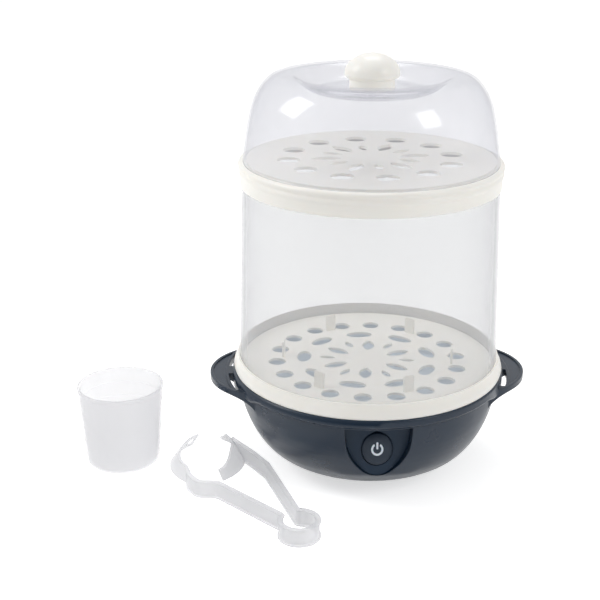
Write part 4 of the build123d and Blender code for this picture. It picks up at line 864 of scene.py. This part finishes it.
def evenly(line, step):
    """The same line with points at even steps of length along it."""
    run = np.concatenate([[0], np.cumsum(np.linalg.norm(np.diff(line, axis=0), axis=1))])
    at = np.linspace(0, run[-1], int(run[-1] / step) + 1)
    return np.stack([np.interp(at, run, line[:, k]) for k in (0, 1)], axis=1)


bow = ring_points(BOW_CENTRE, BOW_R, bearing(RIGHT_ARM[0]), bearing(LEFT_ARM[0]) - 360, 61)
jaw_line = ring_points(LEFT_JAW, LEFT_JAW_R - STRIP_T / 2, LEFT_JAW_START, LEFT_JAW_END, 61)
corners = np.concatenate([RIGHT_ARM[::-1], bow[1:-1], LEFT_ARM])
corner_r = np.zeros(len(corners))
corner_r[1], corner_r[-3:-1] = ARM_BEND_R, ARM_BEND_R
corner_r[2], corner_r[-4] = BOW_BEND_R, BOW_BEND_R
arms = evenly(rounded(corners, corner_r), LINE_STEP)
print("tongs' line:", len(arms), "points on the arms and bow")

# %% [markdown]
# The section is a thin web between two ribs, like a beam's, because a beam is stiff for its weight. It
# is the same on both sides, so one side is drawn and mirrored. The two points in the middle of the web
# are there for the window near the left jaw's tip.

# %% Tongs' section
TWIST_COUNT = 14
ARM_PULL, JAW_PULL = 8, 10
LEAN_FULL = 22  # points before the jaw's tip

right_side = [(RIB_W / 2, 0), (RIB_W / 2, RIB_H), (STRIP_T / 2, RIB_H), (STRIP_T / 2, WINDOW_LOW),
              (STRIP_T / 2, WINDOW_HIGH), (STRIP_T / 2, STRIP_H - RIB_H), (RIB_W / 2, STRIP_H - RIB_H),
              (RIB_W / 2, STRIP_H)]
left_side = [(-u, z) for u, z in right_side[::-1]]
strip_section = rounded([left_side[-1], *right_side, *left_side[:-1]], 0.3, 2)


def carried(line, lean, rib):
    """Carry the strip's section along a line in plan.

    A section point (u, z) goes to line + side * (u - lean * z / height), where side points left of the
    way. rib, from 1 to 0, draws the section in to the web's own thickness.
    """
    way = np.gradient(line, axis=0)
    way = way / np.linalg.norm(way, axis=1, keepdims=True)
    side = np.stack([-way[:, 1], way[:, 0]], axis=1)
    u, z = strip_section.T
    web = np.clip(u, -STRIP_T / 2, STRIP_T / 2)
    across = web + (u - web) * rib[:, None] - lean[:, None] * z / STRIP_H
    plan = line[:, None, :] + side[:, None, :] * across[:, :, None]
    return np.concatenate([plan, np.broadcast_to(z[None, :, None], across.shape + (1,))], axis=2)


twist = curve(arms[-1], (arms[-1] - arms[-2]) * ARM_PULL,
              jaw_line[0], (jaw_line[1] - jaw_line[0]) * JAW_PULL, TWIST_COUNT)[1:-1]
line = np.concatenate([arms, twist, jaw_line])
in_twist = np.linspace(0, 1, TWIST_COUNT)[1:-1]
turned_in = ease(np.concatenate([np.zeros(len(arms)), in_twist, np.ones(len(jaw_line))]), 0.0, 1.0)
lean_in = ease(np.arange(len(line)), len(arms), len(line) - LEAN_FULL)
body = carried(line, JAW_LEAN * lean_in, 1 - turned_in)
print("tongs' strip:", len(body), "sections of", len(strip_section), "points")

# %% [markdown]
# The right arm ends at the right jaw, whose skin is a cone. Each point of the section goes on straight
# until it meets that cone, which is a quadratic equation in how far it has to go.

# %% End of the right arm
ARM_SUNK = 0.6  # how far the arm's end goes into the jaw's skin
SHORTEST, LONGEST = 2.0, 36.0
LAST_COUNT = 12

start = body[0]
way = (RIGHT_ARM_END - RIGHT_ARM[-1]) / np.linalg.norm(RIGHT_ARM_END - RIGHT_ARM[-1])
from_jaw = start[:, :2] - RIGHT_JAW
along = from_jaw @ way
reach = RIGHT_JAW_R - ARM_SUNK - JAW_LEAN * start[:, 2] / STRIP_H
room = np.maximum(along ** 2 - (from_jaw ** 2).sum(axis=1) + reach ** 2, 0.0)
length = np.clip(-along - np.sqrt(room), SHORTEST, LONGEST)
last = np.repeat(start[None], LAST_COUNT, axis=0)
share = np.linspace(1, 0, LAST_COUNT + 1)[:-1, None]
last[:, :, :2] += way * (length[None, :] * share)[:, :, None]
body = np.concatenate([last, body])
print("right arm's last stretch:", length.min().round(1), "to", length.max().round(1), "mm")

# %% [markdown]
# The window near the left jaw's tip is cut by leaving out the faces on both sides of the web and by
# lining the hole.

# %% Window and bend
SAME = 1e-6

rows, columns = body.shape[:2]
angle = np.degrees(np.arctan2(line[:, 1] - LEFT_JAW[1], line[:, 0] - LEFT_JAW[0]))
half_window = math.degrees(WINDOW_W / 2 / (LEFT_JAW_R - JAW_LEAN / 2))
inside = np.flatnonzero((np.abs(angle - WINDOW_AT) < half_window) & (turned_in == 1.0)) + len(last)
first_row, last_row = inside[0], inside[-1]
levels = strip_section[:, 1]
web_points = np.flatnonzero(np.abs(np.abs(strip_section[:, 0]) - STRIP_T / 2) < SAME)
low = [j for j in web_points if abs(levels[j] - WINDOW_LOW) < SAME]
high = [j for j in web_points if abs(levels[j] - WINDOW_HIGH) < SAME]
quads = grid_faces(rows, columns, False, True)
row, column = np.divmod(quads[:, 0], columns)
in_window = (row >= first_row) & (row < last_row) & ((column == low[0]) | (column == high[1]))
at = np.arange(first_row, last_row)
lining = [np.stack([at * columns + a, (at + 1) * columns + a, (at + 1) * columns + b, at * columns + b], 1)
          for a, b in (low, high)]
ends = [[r * columns + low[0], r * columns + high[0], r * columns + high[1], r * columns + low[1]]
        for r in (first_row, last_row)]
quads = np.concatenate([quads[~in_window], *lining, np.array(ends)])
spring = face_outwards(make_piece("tongs_spring", body.reshape(-1, 3) * MM,
                                  quads.tolist() + end_caps(rows, columns)))
spring.data.set_sharp_from_angle(angle=SHARP_STRIP_EDGE)
paint(spring, tongs_plastic)
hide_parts("tongs_left_arm", "tongs_bow")
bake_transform(spring)

# %% [markdown]
# The right jaw is a band of a cone. Its tip tapers so that it stays clear of the left jaw when the
# tongs close, and three ribs near its lower end grip the teat of a bottle.

# %% Right jaw
GRIPS = RIGHT_JAW_START + 8.0 + 5.0 * np.arange(3)
GRIP_PROUD, GRIP_SPREAD = 1.2, 1.0  # millimetres, degrees
TIP_LENGTH, TIP_LOW = 16.0, 4.0
END_LENGTH, END_LOW = 34, 8.0
CUT_BACK = 4.0  # degrees by which the lower end is shorter than the solid
LEVELS = 7


def right_jaw_points(count=113):
    """Band on a cone about the jaw's centre, on a grid of angle and section.

    Its height is that of the strip, less near both ends, and its inner skin stands proud by a bell
    curve of the angle at each of three grip ribs.
    """
    turn = np.linspace(RIGHT_JAW_START + CUT_BACK, RIGHT_JAW_START + RIGHT_JAW_SWEEP, count)
    from_tip = np.radians(turn[-1] - turn) * (RIGHT_JAW_R - JAW_LEAN / 2)
    from_end = np.radians(turn - turn[0]) * (RIGHT_JAW_R - JAW_LEAN / 2)
    height = np.minimum(np.interp(from_tip, [0, TIP_LENGTH], [TIP_LOW, STRIP_H]),
                        END_LOW + (STRIP_H - END_LOW) * ease(from_end, 0, END_LENGTH))
    skin = np.stack([np.zeros(LEVELS), np.linspace(0, 1, LEVELS)], axis=1)
    depth, share = np.concatenate([skin, (skin + (-STRIP_T, 0))[::-1]]).T
    grip = np.exp(-((turn[:, None] - GRIPS) / GRIP_SPREAD) ** 2).sum(axis=1)
    z = share * height[:, None]
    rib = GRIP_PROUD * grip[:, None] * np.sin(np.pi * share) ** 0.5
    proud = np.where(depth < -STRIP_T / 2, rib, 0.0)
    radius = RIGHT_JAW_R + depth - proud - JAW_LEAN * z / STRIP_H
    angle = np.radians(turn)[:, None]
    x, y = RIGHT_JAW[0] + radius * np.cos(angle), RIGHT_JAW[1] + radius * np.sin(angle)
    return np.stack([x, y, z], axis=2)


jaw_points = right_jaw_points()
rows, columns = jaw_points.shape[:2]
right_jaw = face_outwards(make_piece(
    "tongs_jaw", jaw_points.reshape(-1, 3) * MM,
    grid_faces(rows, columns, False, True).tolist() + end_caps(rows, columns)))
right_jaw.data.set_sharp_from_angle(angle=SHARP_STRIP_EDGE)
dress(right_jaw, tongs_plastic, "tongs_right", ["tongs_right_arm"])


# %% [markdown]
# ## Metal and rubber
# Most of these pieces are inside or underneath. The basin is pressed aluminium with a blue grey coat,
# and it is the colour that shows through the holes of the lower tray. Screws are zinc plated steel, the
# spreader is cast aluminium and the element a steel tube that heat has turned straw brown.

# %% Metals
METAL_DRIFT = 0.06


def metal(name, first, second, rough, size_mm, height_mm, metallic=1.0):
    """A metal finish: colour and roughness that drift, over a fine surface relief."""
    material, tree = new_material(name)
    shader = add(tree, "ShaderNodeBsdfPrincipled", {
        "Base Color": two_tone(tree, size_mm * 6, first, second), "Metallic": metallic,
        "Roughness": cloudy(tree, size_mm * 3, rough - METAL_DRIFT, rough + METAL_DRIFT),
        "Normal": bumps(tree, size_mm, height_mm)})
    show(tree, shader.outputs[0])
    return material


def soft(name, first, second, rough, size_mm):
    """Rubber or silicone: no metal, little shine, a fine dusty grain."""
    material, tree = new_material(name)
    shader = add(tree, "ShaderNodeBsdfPrincipled", {
        "Base Color": two_tone(tree, size_mm * 10, first, second), "Roughness": rough,
        "IOR": 1.45, "Normal": bumps(tree, size_mm, 0.03)})
    show(tree, shader.outputs[0])
    return material


coated = metal("aluminium, pressed, blue grey coat", "#DCE8F4", "#E3EDF7", 0.45, 1.2, 0.01, 0.0)
zinc = metal("steel, zinc plated", "#B9BCC0", "#C8C9CA", 0.32, 0.4, 0.004)
cast = metal("aluminium, as cast", "#A9ABAD", "#B9BABB", 0.5, 0.8, 0.05)
sheath = metal("steel tube, heat tinted", "#8C8078", "#A3978A", 0.35, 1.0, 0.01)
ceramic = metal("enamelled case, ivory", "#D8D4C4", "#E0DCCE", 0.4, 1.0, 0.02, 0.0)
board = metal("glass epoxy board, green mask", "#14532B", "#185C31", 0.35, 1.5, 0.02, 0.0)
lens = metal("epoxy lens, water clear", "#DDE3EA", "#E6EAEF", 0.1, 1.0, 0.0, 0.0)
rubber = soft("rubber, moulded, black", "#1E1F20", "#262727", 0.75, 0.6)
silicone = soft("silicone, pale grey", "#B9BBBC", "#C1C2C3", 0.6, 0.8)

dress(smooth_copy("heating_basin", "basin_pressed"), coated, "base", ["heating_basin"])
for node_name, material in {
        "board_screws": zinc, "cover_screws": zinc, "basin_nuts": zinc, "element_terminals": zinc,
        "fuse_clip": zinc, "knob_screw": zinc, "heat_spreader": cast, "heating_element": sheath,
        "thermal_fuse": ceramic, "control_board": board, "indicator_led": lens, "rubber_feet": rubber,
        "cord_gland": rubber, "basin_gasket": silicone}.items():
    finish_node(node_name, material)
